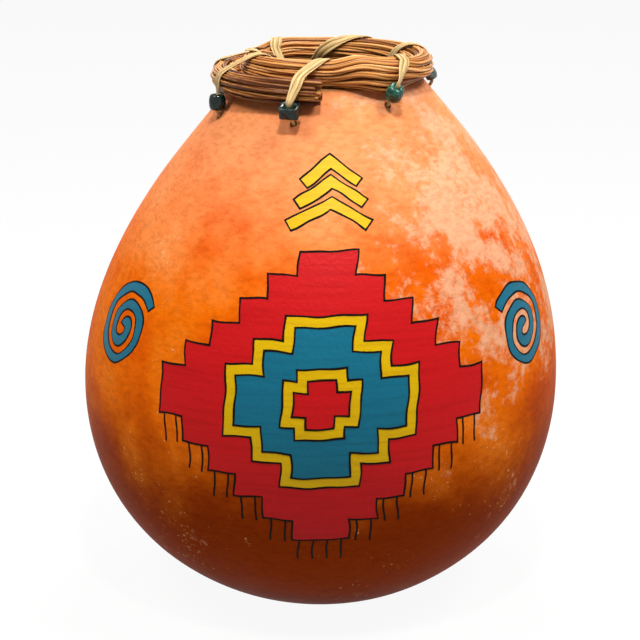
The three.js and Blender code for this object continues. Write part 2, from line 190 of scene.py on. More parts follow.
def mesh_object(name: str, vertices: Array, faces: Faces, material: Material) -> Object:
    """Makes a smooth closed mesh object with its faces pointing out.

    Args:
        name: The piece's name.
        vertices: One row per vertex, in metres.
        faces: Vertex numbers of each face.
        material: The piece's finish.

    Returns:
        The linked object.
    """
    mesh = bpy.data.meshes.new(name)
    mesh.from_pydata([tuple(v) for v in vertices], [], faces)
    tidy_mesh(mesh)
    mesh.materials.append(material)
    piece = bpy.data.objects.new(name, mesh)
    bpy.context.scene.collection.objects.link(piece)
    return piece


def tidy_mesh(mesh: Mesh) -> None:
    """Turns a mesh's faces outwards and shades them smooth.

    Args:
        mesh: The mesh, changed in place.
    """
    edit = bmesh.new()
    edit.from_mesh(mesh)
    bmesh.ops.recalc_face_normals(edit, faces=edit.faces)
    for face in edit.faces:
        face.smooth = True
    edit.to_mesh(mesh)
    edit.free()


def set_attribute(piece: Object, name: str, values: Array) -> None:
    """Stores one number per vertex under a name that a finish can read."""
    attribute = piece.data.attributes.new(name, "FLOAT", "POINT")
    attribute.data.foreach_set("value", np.asarray(values, dtype=np.float32))


def dress(piece: Object, slot: str, body: str, *nodes: str) -> None:
    """Rides a piece on a body and hides the nodes that it stands for.

    Args:
        piece: The finished piece, in place.
        slot: The record's material slot; not used.
        body: The body that carries it.
        nodes: The solids that it stands for.
    """
    if nodes:
        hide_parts(*nodes)
    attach(piece, body)
    log.info("%s: %d faces on %s", piece.name, len(piece.data.polygons), body)


# Finishes


def linear(code: str) -> Colour:
    """Turns an sRGB hex colour to linear light.

    Args:
        code: The colour, such as "#f57519".

    Returns:
        Red, green, blue and full opacity.
    """
    shares = [int(code[i : i + 2], 16) / 255.0 for i in (1, 3, 5)]
    levels = [s / 12.92 if s <= 0.04045 else ((s + 0.055) / 1.055) ** 2.4 for s in shares]
    return (levels[0], levels[1], levels[2], 1.0)


def grey(level: float) -> Colour:
    """A neutral colour of a linear level."""
    return (level, level, level, 1.0)


def per_size(millimetres: float) -> float:
    """The texture scale at which one feature of a pattern is this many millimetres wide."""
    return 1.0 / (millimetres * MM)


def new_tree(name: str) -> tuple[Material, NodeTree]:
    """Makes an empty node material.

    Args:
        name: The finish's name.

    Returns:
        The material and its tree.
    """
    material = bpy.data.materials.new(name)
    material.use_nodes = True
    material.node_tree.nodes.clear()
    return material, material.node_tree


def add_node(
    tree: NodeTree,
    kind: str,
    inputs: dict[str | int, object] | None = None,
    stops: list[tuple[float, Colour]] | None = None,
    **settings: object,
) -> Node:
    """Adds one node with its settings and links.

    Args:
        tree: The material's or world's tree.
        kind: The node's type without its "ShaderNode" prefix.
        inputs: Socket name or number to a value, to an output socket, or to a node for its first output in use.
        stops: Places and colours of a colour ramp.
        settings: The node's own properties.

    Returns:
        The new node.
    """
    node = tree.nodes.new("ShaderNode" + kind)
    for name, value in settings.items():
        setattr(node, name, value)
    for name, value in (inputs or {}).items():
        socket = node.inputs[name] if isinstance(name, int) else in_use(node.inputs, name)
        source = in_use(value.outputs) if isinstance(value, Node) else value
        if isinstance(source, NodeSocket):
            tree.links.new(source, socket)
        else:
            socket.default_value = source
    if stops:
        ramp = node.color_ramp.elements
        while len(ramp) < len(stops):
            ramp.new(1.0)
        for element, (place, colour) in zip(ramp, stops):
            element.position = place
            element.color = colour
    return node


def in_use(sockets: Iterable[NodeSocket], name: str = "") -> NodeSocket:
    """The first socket that a node's settings leave in use, or the first one of a name."""
    return next(socket for socket in sockets if socket.enabled and name in ("", socket.name))


@dataclass(frozen=True)
class Grain:
    """A natural pattern: how wide its features are, how fine its detail goes, and how strong that detail is."""

    millimetres: float
    detail: float
    strength: float

    def at(self, place: Source) -> dict[str | int, object]:
        """The inputs of a noise that draws the pattern at a place on the piece."""
        fineness = {"Detail": self.detail, "Roughness": self.strength}
        return {"Vector": place, "Scale": per_size(self.millimetres), **fineness}


@dataclass(frozen=True)
class Layer:
    """A colour laid over others: a pattern's range, the colour's shares at both ends of it, and how it is laid."""

    reach: Span
    shares: Span
    colour: str
    blend: str = "MIX"

    def over(self, pattern: Source) -> dict[str | int, object]:
        """The inputs of a range that turns a pattern to the colour's share."""
        shares = {"To Min": self.shares[0], "To Max": self.shares[1]}
        return {"Value": pattern, "From Min": self.reach[0], "From Max": self.reach[1], **shares}


@dataclass(frozen=True)
class DyedGourd:
    """Hard-shell gourd, scraped, leather-dyed orange and wiped with a satin varnish.

    The dye soaks in unevenly, so the eye sees soft cloudy mottling over a fine pebbled grain. It is pinker towards
    the neck, and darker towards the foot: partly dye that pooled there while it dried, partly painted shade of the
    lower body. Where the waxy skin was left on, it takes little dye and shows as clusters of pale peach dapples,
    most of them on the side that lay on the ground. Fine streaks run round where the dye ran, with chips and specks
    of bare shell. The inside is raw tan pulp.
    """

    deep: str = "#ea5c03"
    bright: str = "#f9760a"
    glow: str = "#fd8a24"
    raw: str = "#a9804f"
    raw_dark: str = "#6f4a28"
    clouds: Grain = Grain(48.0, 6.0, 0.62)
    clusters: Grain = Grain(26.0, 8.0, 0.7)
    dapples: Grain = Grain(5.0, 5.0, 0.68)
    scuffs: Grain = Grain(9.0, 7.0, 0.72)
    specks: Grain = Grain(1.8, 3.0, 0.6)
    pebbles: Grain = Grain(2.0, 3.0, 0.55)
    streaks: Grain = Grain(5.0, 7.0, 0.7)
    streak_stretch: float = 2.2
    # The neck's colour and the foot's dye and painted shade go by the height in metres, and the clouds blur it by
    # the drift
    drift: float = 0.10
    neck: Layer = Layer((0.216, 0.288), (0.0, 0.8), "#f8a26c")
    # Darker towards the foot: partly dye pooled as it dried, partly painted shade of the lower body
    foot_dye_and_shade: Layer = Layer((0.115, 0.185), (1.0, 0.0), "#9a3801")
    dapple: Layer = Layer((0.81, 0.95), (0.0, 0.95), "#f4b087")
    streak: Layer = Layer((0.40, 0.68), (0.0, 0.45), "#d0b084", "MULTIPLY")
    chip: Layer = Layer((0.69, 0.72), (0.0, 0.85), "#eeb87a")
    speck: Layer = Layer((1.0, 1.08), (0.0, 0.7), "#eeb87a")
    ground_side: Span = (-0.03, 0.08)
    ground_height: Span = (0.07, 0.17)
    ground_share: float = 0.21
    dapple_share: float = 0.35
    speck_crowding: float = 0.6
    gloss: float = 0.02
    roughness: float = 0.48
    roughness_drift: float = 0.1
    raw_roughness: float = 0.85

    def material(self) -> Material:
        """Builds the finish.

        Returns:
            The material.
        """
        material, tree = new_tree("dyed_varnished_gourd_shell")
        place = add_node(tree, "TexCoord").outputs["Object"]
        clouds, scuffs, pebbles = (
            add_node(tree, "TexNoise", grain.at(place)) for grain in (self.clouds, self.scuffs, self.pebbles)
        )
        tans = [(0.35, linear(self.raw_dark)), (0.65, linear(self.raw))]
        pulp = add_node(tree, "ValToRGB", {"Fac": scuffs}, tans)
        skin = self.skin(tree, place, clouds, scuffs)
        inside = add_node(tree, "Attribute", attribute_name="inside").outputs["Fac"]
        colour = add_node(tree, "Mix", {"Factor": inside, "A": skin, "B": pulp}, data_type="RGBA")
        low, high = self.roughness - self.roughness_drift, self.roughness + self.roughness_drift
        varnish = add_node(tree, "MapRange", {"Value": clouds, "To Min": low, "To Max": high})
        dull = add_node(tree, "Mix", {"Factor": inside, "A": varnish, "B": self.raw_roughness})
        pebbled = add_node(tree, "Bump", {"Strength": 0.4, "Distance": 0.22 * MM, "Height": pebbles})
        scuffed = {"Strength": 0.5, "Distance": 0.5 * MM, "Height": scuffs, "Normal": pebbled}
        shader = add_node(
            tree,
            "BsdfPrincipled",
            {
                "Base Color": colour,
                "Roughness": dull,
                "Normal": add_node(tree, "Bump", scuffed),
                "IOR": 1.4,
                "Specular IOR Level": self.gloss,
            },
        )
        add_node(tree, "OutputMaterial", {"Surface": shader})
        return material

    def skin(self, tree: NodeTree, place: Source, clouds: Node, scuffs: Node) -> Node:
        """The outside: mottled dye, then every layer of colour over it.

        Args:
            tree: The material's tree.
            place: The place on the gourd.
            clouds: The mottling.
            scuffs: The small marks.

        Returns:
            The skin's colour.
        """
        axes = add_node(tree, "SeparateXYZ", {"Vector": place})
        drawn = add_node(tree, "Mapping", {"Vector": place, "Scale": (1.0, 1.0, self.streak_stretch)})
        streaks = add_node(tree, "TexNoise", self.streaks.at(drawn))
        specks = add_node(tree, "TexNoise", self.specks.at(place))
        height, crowd = (
            add_node(tree, "Math", {0: clouds, 1: share, 2: value}, operation="MULTIPLY_ADD")
            for share, value in ((self.drift, axes.outputs["Z"]), (self.speck_crowding, specks))
        )
        oranges = [(0.36, linear(self.deep)), (0.54, linear(self.bright)), (0.74, linear(self.glow))]
        colour = add_node(tree, "ValToRGB", {"Fac": clouds}, oranges)
        for pattern, layer in (
            (height, self.neck),
            # Dye and painted shade darken the foot
            (height, self.foot_dye_and_shade),
            (self.dappling(tree, place, axes), self.dapple),
            (streaks, self.streak),
            (scuffs, self.chip),
            (crowd, self.speck),
        ):
            share = add_node(tree, "MapRange", layer.over(pattern), interpolation_type="SMOOTHSTEP")
            mixed = {"Factor": share, "A": colour, "B": linear(layer.colour)}
            colour = add_node(tree, "Mix", mixed, data_type="RGBA", blend_type=layer.blend)
        return colour

    def dappling(self, tree: NodeTree, place: Source, axes: Node) -> Node:
        """The clustered dapples, crowded on the side that lay on the ground.

        Args:
            tree: The material's tree.
            place: The place on the gourd.
            axes: The node that splits it.

        Returns:
            The dapples' pattern.
        """
        pattern, dapples = (
            add_node(tree, "TexNoise", grain.at(place)) for grain in (self.clusters, self.dapples)
        )
        side, height = (
            add_node(
                tree,
                "MapRange",
                {"Value": axes.outputs[axis], "From Min": low, "From Max": high},
                interpolation_type="SMOOTHSTEP",
            )
            for axis, (low, high) in (("X", self.ground_side), ("Z", self.ground_height))
        )
        ground = add_node(tree, "Math", {0: side, 1: height}, operation="MULTIPLY")
        for share, value in ((self.ground_share, ground), (self.dapple_share, dapples)):
            pattern = add_node(tree, "Math", {0: value, 1: share, 2: pattern}, operation="MULTIPLY_ADD")
        return pattern


@dataclass(frozen=True)
class AcrylicPaint:
    """Artist's acrylic, brushed by hand over the gourd's skin.

    It dries to a satin film with the drag of the brush in it, a little thinner in places, over the skin's pebbles.
    """

    name: str
    colour: str
    thin: str
    roughness: float = 0.42
    smoother: float = 0.08
    rougher: float = 0.10
    gloss: float = 0.16
    brush_mm: float = 2.2
    drag: Grain = Grain(40.0, 4.0, 0.6)
    pebbles: Grain = Grain(2.0, 3.0, 0.55)

    def material(self) -> Material:
        """Builds the finish.

        Returns:
            The material.
        """
        material, tree = new_tree(self.name)
        place = add_node(tree, "TexCoord").outputs["Object"]
        stretch = (1.0, 1.0, self.drag.millimetres / self.brush_mm)
        drawn = add_node(tree, "Mapping", {"Vector": place, "Scale": stretch})
        drag = add_node(tree, "TexNoise", self.drag.at(drawn))
        pebbles = add_node(tree, "TexNoise", self.pebbles.at(place))
        coats = [(0.28, linear(self.thin)), (0.56, linear(self.colour))]
        skin = add_node(tree, "Bump", {"Strength": 0.8, "Distance": 0.26 * MM, "Height": pebbles})
        strokes = {"Strength": 0.1, "Distance": 0.08 * MM, "Height": drag, "Normal": skin}
        low, high = self.roughness - self.smoother, self.roughness + self.rougher
        shader = add_node(
            tree,
            "BsdfPrincipled",
            {
                "Base Color": add_node(tree, "ValToRGB", {"Fac": drag}, coats),
                "Roughness": add_node(tree, "MapRange", {"Value": pebbles, "To Min": low, "To Max": high}),
                "Normal": add_node(tree, "Bump", strokes),
                "IOR": 1.45,
                "Specular IOR Level": self.gloss,
            },
        )
        add_node(tree, "OutputMaterial", {"Surface": shader})
        return material


@dataclass(frozen=True)
class DriedStem:
    """Dried plant stem, pulled and wound while damp.

    Its waxy rind gives long narrow highlights, fine ribs along its length, and a tone of its own for each stem. The
    real ribs are finer still, and are drawn this coarse so that they show.
    """

    dark: str = "#54230a"
    middle: str = "#d89149"
    light: str = "#fac98c"
    pith: str = "#8f5a2c"
    rib_mm: float = 0.4
    streak_mm: float = 30.0
    tone_spread: float = 40.0
    rib_contrast: float = 0.75
    roughness: float = 0.38
    gloss: float = 0.1
    wax: float = 0.14
    wax_roughness: float = 0.22

    def material(self) -> Material:
        """Builds the finish.

        Returns:
            The material.
        """
        material, tree = new_tree("dried_plant_stem_rind")
        along, around, tone, cut = (
            add_node(tree, "Attribute", attribute_name=name).outputs["Fac"]
            for name in ("along", "around", "tone", "cut")
        )
        place = add_node(tree, "CombineXYZ", {"X": along, "Y": around, "Z": tone})
        scale = (per_size(self.streak_mm), per_size(self.rib_mm), self.tone_spread)
        drawn = add_node(tree, "Mapping", {"Vector": place, "Scale": scale})
        ribs = add_node(
            tree, "TexNoise", {"Vector": drawn, "Scale": 1.0, "Detail": 3.0, "Roughness": 0.55}
        )
        # The tone attribute holds each stem's own tone, plus painted shade in the rib grooves and on the lower lap's
        # first stretch
        shade = add_node(tree, "Math", {0: ribs, 1: self.rib_contrast, 2: tone}, operation="MULTIPLY_ADD")
        browns = [(0.12, linear(self.dark)), (0.42, linear(self.middle)), (0.72, linear(self.light))]
        rind = add_node(tree, "ValToRGB", {"Fac": shade}, browns)
        pith = linear(self.pith)
        shader = add_node(
            tree,
            "BsdfPrincipled",
            {
                "Base Color": add_node(tree, "Mix", {"Factor": cut, "A": rind, "B": pith}, data_type="RGBA"),
                "Roughness": self.roughness,
                "Normal": add_node(tree, "Bump", {"Strength": 0.5, "Distance": 0.12 * MM, "Height": ribs}),
                "IOR": 1.5,
                "Specular IOR Level": self.gloss,
                "Coat Weight": self.wax,
                "Coat Roughness": self.wax_roughness,
            },
        )
        add_node(tree, "OutputMaterial", {"Surface": shader})
        return material


@dataclass(frozen=True)
class DriedRaffia:
    """Raffia palm leaf, split into strips and dried.

    It is pale straw with fibres along its length and dull with a soft sheen, with painted shade in the valleys of
    its folds.
    The real fibres are finer, and are drawn this coarse so that they show.
    """

    straw: str = "#dcbd80"
    # The fold colour is both the fibres' darker tone and the painted shade in the fold valleys
    fold: str = "#946d38"
    fibre_mm: float = 0.5
    streak_mm: float = 30.0
    # Painted shade in the valleys of the folds
    crease_painted_shade: float = -0.35
    roughness: float = 0.55
    gloss: float = 0.25
    sheen: float = 0.15

    def material(self) -> Material:
        """Builds the finish.

        Returns:
            The material.
        """
        material, tree = new_tree("dried_raffia_leaf")
        along, around, crease = (
            add_node(tree, "Attribute", attribute_name=name).outputs["Fac"]
            for name in ("along", "around", "crease")
        )
        place = add_node(tree, "CombineXYZ", {"X": along, "Y": around})
        scale = (per_size(self.streak_mm), per_size(self.fibre_mm), 1.0)
        drawn = add_node(tree, "Mapping", {"Vector": place, "Scale": scale})
        fibres = add_node(
            tree, "TexNoise", {"Vector": drawn, "Scale": 1.0, "Detail": 4.0, "Roughness": 0.6}
        )
        # Painted shade darkens the fibres in the fold valleys
        shade = add_node(tree, "Math", {0: crease, 1: self.crease_painted_shade, 2: fibres}, operation="MULTIPLY_ADD")
        straws = [(0.30, linear(self.fold)), (0.56, linear(self.straw))]
        shader = add_node(
            tree,
            "BsdfPrincipled",
            {
                "Base Color": add_node(tree, "ValToRGB", {"Fac": shade}, straws),
                "Roughness": self.roughness,
                "Normal": add_node(tree, "Bump", {"Strength": 0.6, "Distance": 0.15 * MM, "Height": fibres}),
                "IOR": 1.45,
                "Specular IOR Level": self.gloss,
                "Sheen Weight": self.sheen,
            },
        )
        add_node(tree, "OutputMaterial", {"Surface": shader})
        return material


@dataclass(frozen=True)
class TumbledStone:
    """Green stone, sawn or turned, then tumbled to a polish.

    It is near black with teal cloud and thin paler veins, under a wet-looking polish.
    """

    name: str
    ground: str
    cloud: str
    vein: str
    cloud_mm: float = 4.0
    vein_mm: float = 3.2
    vein_share: float = 0.55
    roughness: float = 0.07
    gloss: float = 0.3

    def material(self) -> Material:
        """Builds the finish.

        Returns:
            The material.
        """
        material, tree = new_tree(self.name)
        place = add_node(tree, "TexCoord").outputs["Object"]
        scale = per_size(self.cloud_mm)
        clouds = add_node(
            tree, "TexNoise", {"Vector": place, "Scale": scale, "Detail": 5.0, "Distortion": 0.8}
        )
        greens = [(0.38, linear(self.ground)), (0.68, linear(self.cloud))]
        mottle = add_node(tree, "ValToRGB", {"Fac": clouds}, greens)
        cracks = add_node(
            tree,
            "TexVoronoi",
            {"Vector": clouds.outputs["Color"], "Scale": self.cloud_mm / self.vein_mm * 2.0},
            feature="DISTANCE_TO_EDGE",
        )
        veins = add_node(
            tree, "MapRange", {"Value": cracks, "From Max": 0.05, "To Min": self.vein_share, "To Max": 0.0}
        )
        veined = {"Factor": veins, "A": mottle, "B": linear(self.vein)}
        shader = add_node(
            tree,
            "BsdfPrincipled",
            {
                "Base Color": add_node(tree, "Mix", veined, data_type="RGBA"),
                "Roughness": self.roughness,
                "Normal": add_node(tree, "Bump", {"Strength": 0.3, "Distance": 0.1 * MM, "Height": clouds}),
                "IOR": 1.54,
                "Specular IOR Level": self.gloss,
            },
        )
        add_node(tree, "OutputMaterial", {"Surface": shader})
        return material


def showing_rays(tree: NodeTree) -> Source:
    """The rays to which the room shows as white: the camera's own, and those off gloss and through glass.

    Args:
        tree: The tree that asks.

    Returns:
        What is 1 for these rays and 0 for all others.
    """
    path = add_node(tree, "LightPath")
    seen: Source = path.outputs["Is Camera Ray"]
    for kind in ("Is Glossy Ray", "Is Transmission Ray"):
        seen = add_node(tree, "Math", {0: seen, 1: path.outputs[kind]}, operation="MAXIMUM")
    return seen


@dataclass(frozen=True)
class StudioPaper:
    """Matte white background paper, rolled out without a seam.

    It shows as white, keeps a soft shadow and throws little light back.
    """

    colour: str = "#f4f3f1"
    bounce: str = "#a4a29f"
    lift: float = 0.93

    def material(self) -> Material:
        """Builds the finish.

        Returns:
            The material.
        """
        material, tree = new_tree("studio_background_paper")
        seen = showing_rays(tree)
        share = add_node(tree, "Math", {0: seen, 1: self.lift}, operation="MULTIPLY")
        tints = {"Factor": seen, "A": linear(self.bounce), "B": linear(self.colour)}
        tint = add_node(tree, "Mix", tints, data_type="RGBA")
        paper = add_node(tree, "BsdfDiffuse", {"Color": tint})
        glow = add_node(tree, "Emission", {"Color": grey(1.0), "Strength": 1.0})
        both = add_node(tree, "MixShader", {0: share, 1: paper, 2: glow})
        add_node(tree, "OutputMaterial", {"Surface": both})
        return material


# Gourd


@dataclass(frozen=True)
class GourdForm:
    """The grown form of the gourd, as radius and height along a meridian, with its mouth off the belly's axis.

    Each lump wave is its share of the lumps, how often it goes round, its start in radians, and its climb in radians
    for each metre of height.
    """

    base_radius: float = 38 * MM
    base_curve: float = 18 * MM
    lower_fullness: float = 74 * MM
    belly_radius: float = 118 * MM
    belly_height: float = 107 * MM
    upper_fullness: float = 75 * MM
    rim_radius: float = 43.5 * MM
    rim_height: float = 259 * MM
    neck_length: float = 28 * MM
    neck_slope: float = math.radians(37.5)
    neck_lean: float = 5 * MM
    collar_depth: float = 25 * MM
    wall: float = 5 * MM
    lump: float = 0.8 * MM
    lump_waves: tuple[tuple[float, int, float, float], ...] = (
        (0.5, 2, 0.6, 12.0),
        (0.3, 3, -1.1, -25.0),
        (0.2, 5, 2.0, 45.0),
    )
    foot_fade: float = 30 * MM
    curve_steps: int = 240

    @cached_property
    def neck_down(self) -> Array:
        """The direction down the neck's outside."""
        return np.array([math.sin(self.neck_slope), -math.cos(self.neck_slope)])

    @cached_property
    def neck_out(self) -> Array:
        """The direction off the neck's outside."""
        return np.array([math.cos(self.neck_slope), math.sin(self.neck_slope)])

    @cached_property
    def rim_edge(self) -> Array:
        """The outer corner of the cut edge."""
        return np.array([self.rim_radius, self.rim_height])

    @cached_property
    def inner_edge(self) -> Array:
        """The inner corner of the cut edge."""
        return np.array([self.rim_radius - self.wall / math.cos(self.neck_slope), self.rim_height])

    @cached_property
    def meridian(self) -> tuple[Array, Array, Array]:
        """The outside from the base's edge to the cut edge.

        Returns:
            Lengths along it, with the points and outward normals there.
        """
        neck = self.neck_point(self.neck_length, 0.0)
        lower, lower_tangents = bezier(
            [
                (self.base_radius, 0.0),
                (self.base_radius + self.base_curve, 0.0),
                (self.belly_radius, self.belly_height - self.lower_fullness),
                (self.belly_radius, self.belly_height),
            ],
            self.curve_steps,
        )
        upper, upper_tangents = bezier(
            [
                (self.belly_radius, self.belly_height),
                (self.belly_radius, self.belly_height + self.upper_fullness),
                (neck[0], neck[1]),
                (self.rim_radius, self.rim_height),
            ],
            self.curve_steps,
        )
        points = np.vstack([lower, upper[1:]])
        tangents = np.vstack([lower_tangents, upper_tangents[1:]])
        return runs_along(points), points, np.stack([tangents[:, 1], -tangents[:, 0]], axis=1)

    @property
    def length(self) -> float:
        """The length of the outside from the base's edge to the cut edge."""
        return float(self.meridian[0][-1])

    def neck_point(self, down: float, out: float) -> Array:
        """A point by its distance down the neck from the cut edge and off the neck's outside."""
        return self.rim_edge + down * self.neck_down + out * self.neck_out

    def neck_depth(self, point: Array) -> float:
        """How far down the neck from the cut edge a point lies."""
        return float((point - self.rim_edge) @ self.neck_down)

    def lean(self, height: Array | float) -> Array | float:
        """How far the axis stands off to +X at a height."""
        top = self.rim_height - self.collar_depth
        return self.neck_lean * smooth((height - self.belly_height) / (top - self.belly_height))

    def place(self, azimuth: Array | float, radius: Array | float, height: Array | float) -> Array:
        """Points at azimuths, distances from the leaning axis and heights.

        Args:
            azimuth: Radians round the axis from +X.
            radius: Distances from the axis.
            height: Heights over the base.

        Returns:
            One row per point.
        """
        azimuth, radius, height = np.broadcast_arrays(azimuth, radius, height)
        x = radius * np.cos(azimuth) + self.lean(height)
        return np.stack([x, radius * np.sin(azimuth), height], axis=-1)

    def swell(self, azimuth: Array, height: Array) -> Array:
        """How far the grown skin stands off the smooth form: a few broad lumps that fade at the foot and collar.

        Args:
            azimuth: Radians round the axis from +X.
            height: Heights over the base.

        Returns:
            Distances off the smooth form.
        """
        below = smooth(height / self.foot_fade)
        above = smooth((self.rim_height - self.collar_depth - height) / self.foot_fade)
        lumps = sum(
            share * np.sin(times * azimuth + start + climb * height)
            for share, times, start, climb in self.lump_waves
        )
        return self.lump * below * above * lumps

    def skin(self, azimuth: Array | float, along: Array | float, lift: float = 0.0) -> Array:
        """Points on the grown skin.

        Args:
            azimuth: Radians round the axis from +X.
            along: Lengths up the meridian from the base's edge.
            lift: Height over the skin, or depth under it.

        Returns:
            One row per point.
        """
        lengths, points, normals = self.meridian
        azimuth, along = np.broadcast_arrays(azimuth, along)
        radius, height, out, up = (
            np.interp(along, lengths, values)
            for values in (points[:, 0], points[:, 1], normals[:, 0], normals[:, 1])
        )
        off = lift + self.swell(azimuth, height)
        return self.place(azimuth, radius + off * out, height + off * up)

    def along_at(self, height: float) -> float:
        """The length up the meridian at a height."""
        lengths, points, _ = self.meridian
        return float(np.interp(height, points[:, 1], lengths))

    def radius_at(self, along: Array) -> Array:
        """The outside radius at lengths up the meridian."""
        lengths, points, _ = self.meridian
        return np.interp(along, lengths, points[:, 0])


@dataclass(frozen=True)
class GourdShell:
    """The hollow shell with its cut lip, inside and drilled stitch holes.

    The lip's inset, the drill's reach and where the raw inside starts are counted in wall thicknesses.
    """

    form: GourdForm
    finish: DyedGourd
    segments: int = 288
    outer_rings: int = 170
    inner_rings: int = 60
    base_shares: tuple[float, ...] = (0.1, 0.4, 0.7)
    lip_shares: tuple[float, ...] = (0.35, 0.7, 1.0)
    lip_inset: float = 1.5
    lip_edge: float = 0.2 * MM
    hole_diameter: float = 3.2 * MM
    hole_sides: int = 20
    drill_reach: float = 3.0
    raw_depth: float = 0.4
    raw_floor: float = 0.5

    def build(self, holes: list[Span]) -> None:
        """Makes the shell.

        Args:
            holes: Azimuth in radians and depth down the neck of each stitch hole.
        """
        vertices, faces = loft(self.rings())
        piece = mesh_object("gourd_skin", vertices, faces, self.finish.material())
        self.drill(piece, holes)
        self.mark_inside(piece)
        dress(piece, "gourd", VESSEL_BODY, "gourd_shell")

    def rings(self) -> list[Array]:
        """Lays out the shell.

        Returns:
            Rings from the middle of the base up the outside, over the lip and down the inside to the floor.
        """
        form = self.form
        azimuth = once_round(self.segments)
        rings = [form.place(azimuth, form.base_radius * share, 0.0) for share in self.base_shares]
        for along in np.linspace(0.0, form.length, self.outer_rings):
            rings.append(form.skin(azimuth, along))
        for share in self.lip_shares:
            edge = form.rim_edge + share * (form.inner_edge - form.rim_edge)
            rings.append(form.place(azimuth, edge[0], edge[1]))
        below_lip = form.length - self.lip_inset * form.wall
        for along in np.linspace(below_lip, 0.0, self.inner_rings):
            rings.append(form.skin(azimuth, along, -form.wall))
        for share in reversed(self.base_shares):
            rings.append(form.place(azimuth, form.base_radius * share, form.wall))
        return rings

    def drill(self, piece: Object, holes: list[Span]) -> None:
        """Cuts the stitch holes square to the neck.

        Args:
            piece: The shell.
            holes: Azimuth and depth down the neck of each hole.
        """
        form = self.form
        bits = bmesh.new()
        for azimuth, down in holes:
            point = form.neck_point(down, -0.5 * form.wall)
            at = Vector(form.place(azimuth, point[0], point[1]))
            out = Vector(turned(form.neck_out, azimuth))
            turn = out.to_track_quat("Z", "X").to_matrix().to_4x4()
            bmesh.ops.create_cone(
                bits,
                cap_ends=True,
                segments=self.hole_sides,
                radius1=0.5 * self.hole_diameter,
                radius2=0.5 * self.hole_diameter,
                depth=self.drill_reach * form.wall,
                matrix=Matrix.Translation(at) @ turn,
            )
        mesh = bpy.data.meshes.new("stitch_hole_bits")
        bits.to_mesh(mesh)
        bits.free()
        cutter = bpy.data.objects.new("stitch_hole_bits", mesh)
        bpy.context.scene.collection.objects.link(cutter)
        modifier = piece.modifiers.new("stitch_holes", "BOOLEAN")
        modifier.object = cutter
        modifier.operation = "DIFFERENCE"
        modifier.solver = "EXACT"
        evaluated = piece.evaluated_get(bpy.context.evaluated_depsgraph_get())
        drilled = bpy.data.meshes.new_from_object(evaluated)
        piece.modifiers.clear()
        piece.data = drilled
        bpy.data.objects.remove(cutter)

    def mark_inside(self, piece: Object) -> None:
        """Marks the vertices of the raw lip, holes and inside for the finish.

        Args:
            piece: The drilled shell.
        """
        form = self.form
        points = np.empty(3 * len(piece.data.vertices))
        piece.data.vertices.foreach_get("co", points)
        points = points.reshape(-1, 3)
        heights = points[:, 2]
        reach = np.hypot(points[:, 0] - form.lean(heights), points[:, 1])
        _, outline, _ = form.meridian
        depth = np.interp(heights, outline[:, 1], outline[:, 0]) - reach
        lip = heights > form.rim_height - self.lip_edge
        inside = (depth > self.raw_depth * form.wall) & (heights > self.raw_floor * form.wall)
        set_attribute(piece, "inside", (inside | lip).astype(float))


# Painted design


class Pigment(Enum):
    """The four paints on the gourd, from the lowest coat to the last outline."""

    RED = AcrylicPaint("red_acrylic_paint", "#cc1519", "#bd1014")
    TEAL = AcrylicPaint("teal_acrylic_paint", "#156d87", "#12637b")
    YELLOW = AcrylicPaint("yellow_acrylic_paint", "#e2b604", "#d6a506")
    BLACK = AcrylicPaint("black_acrylic_paint", "#120c09", "#1d1410", roughness=0.5, gloss=0.06)


Coats = dict[Pigment, list[Part]]


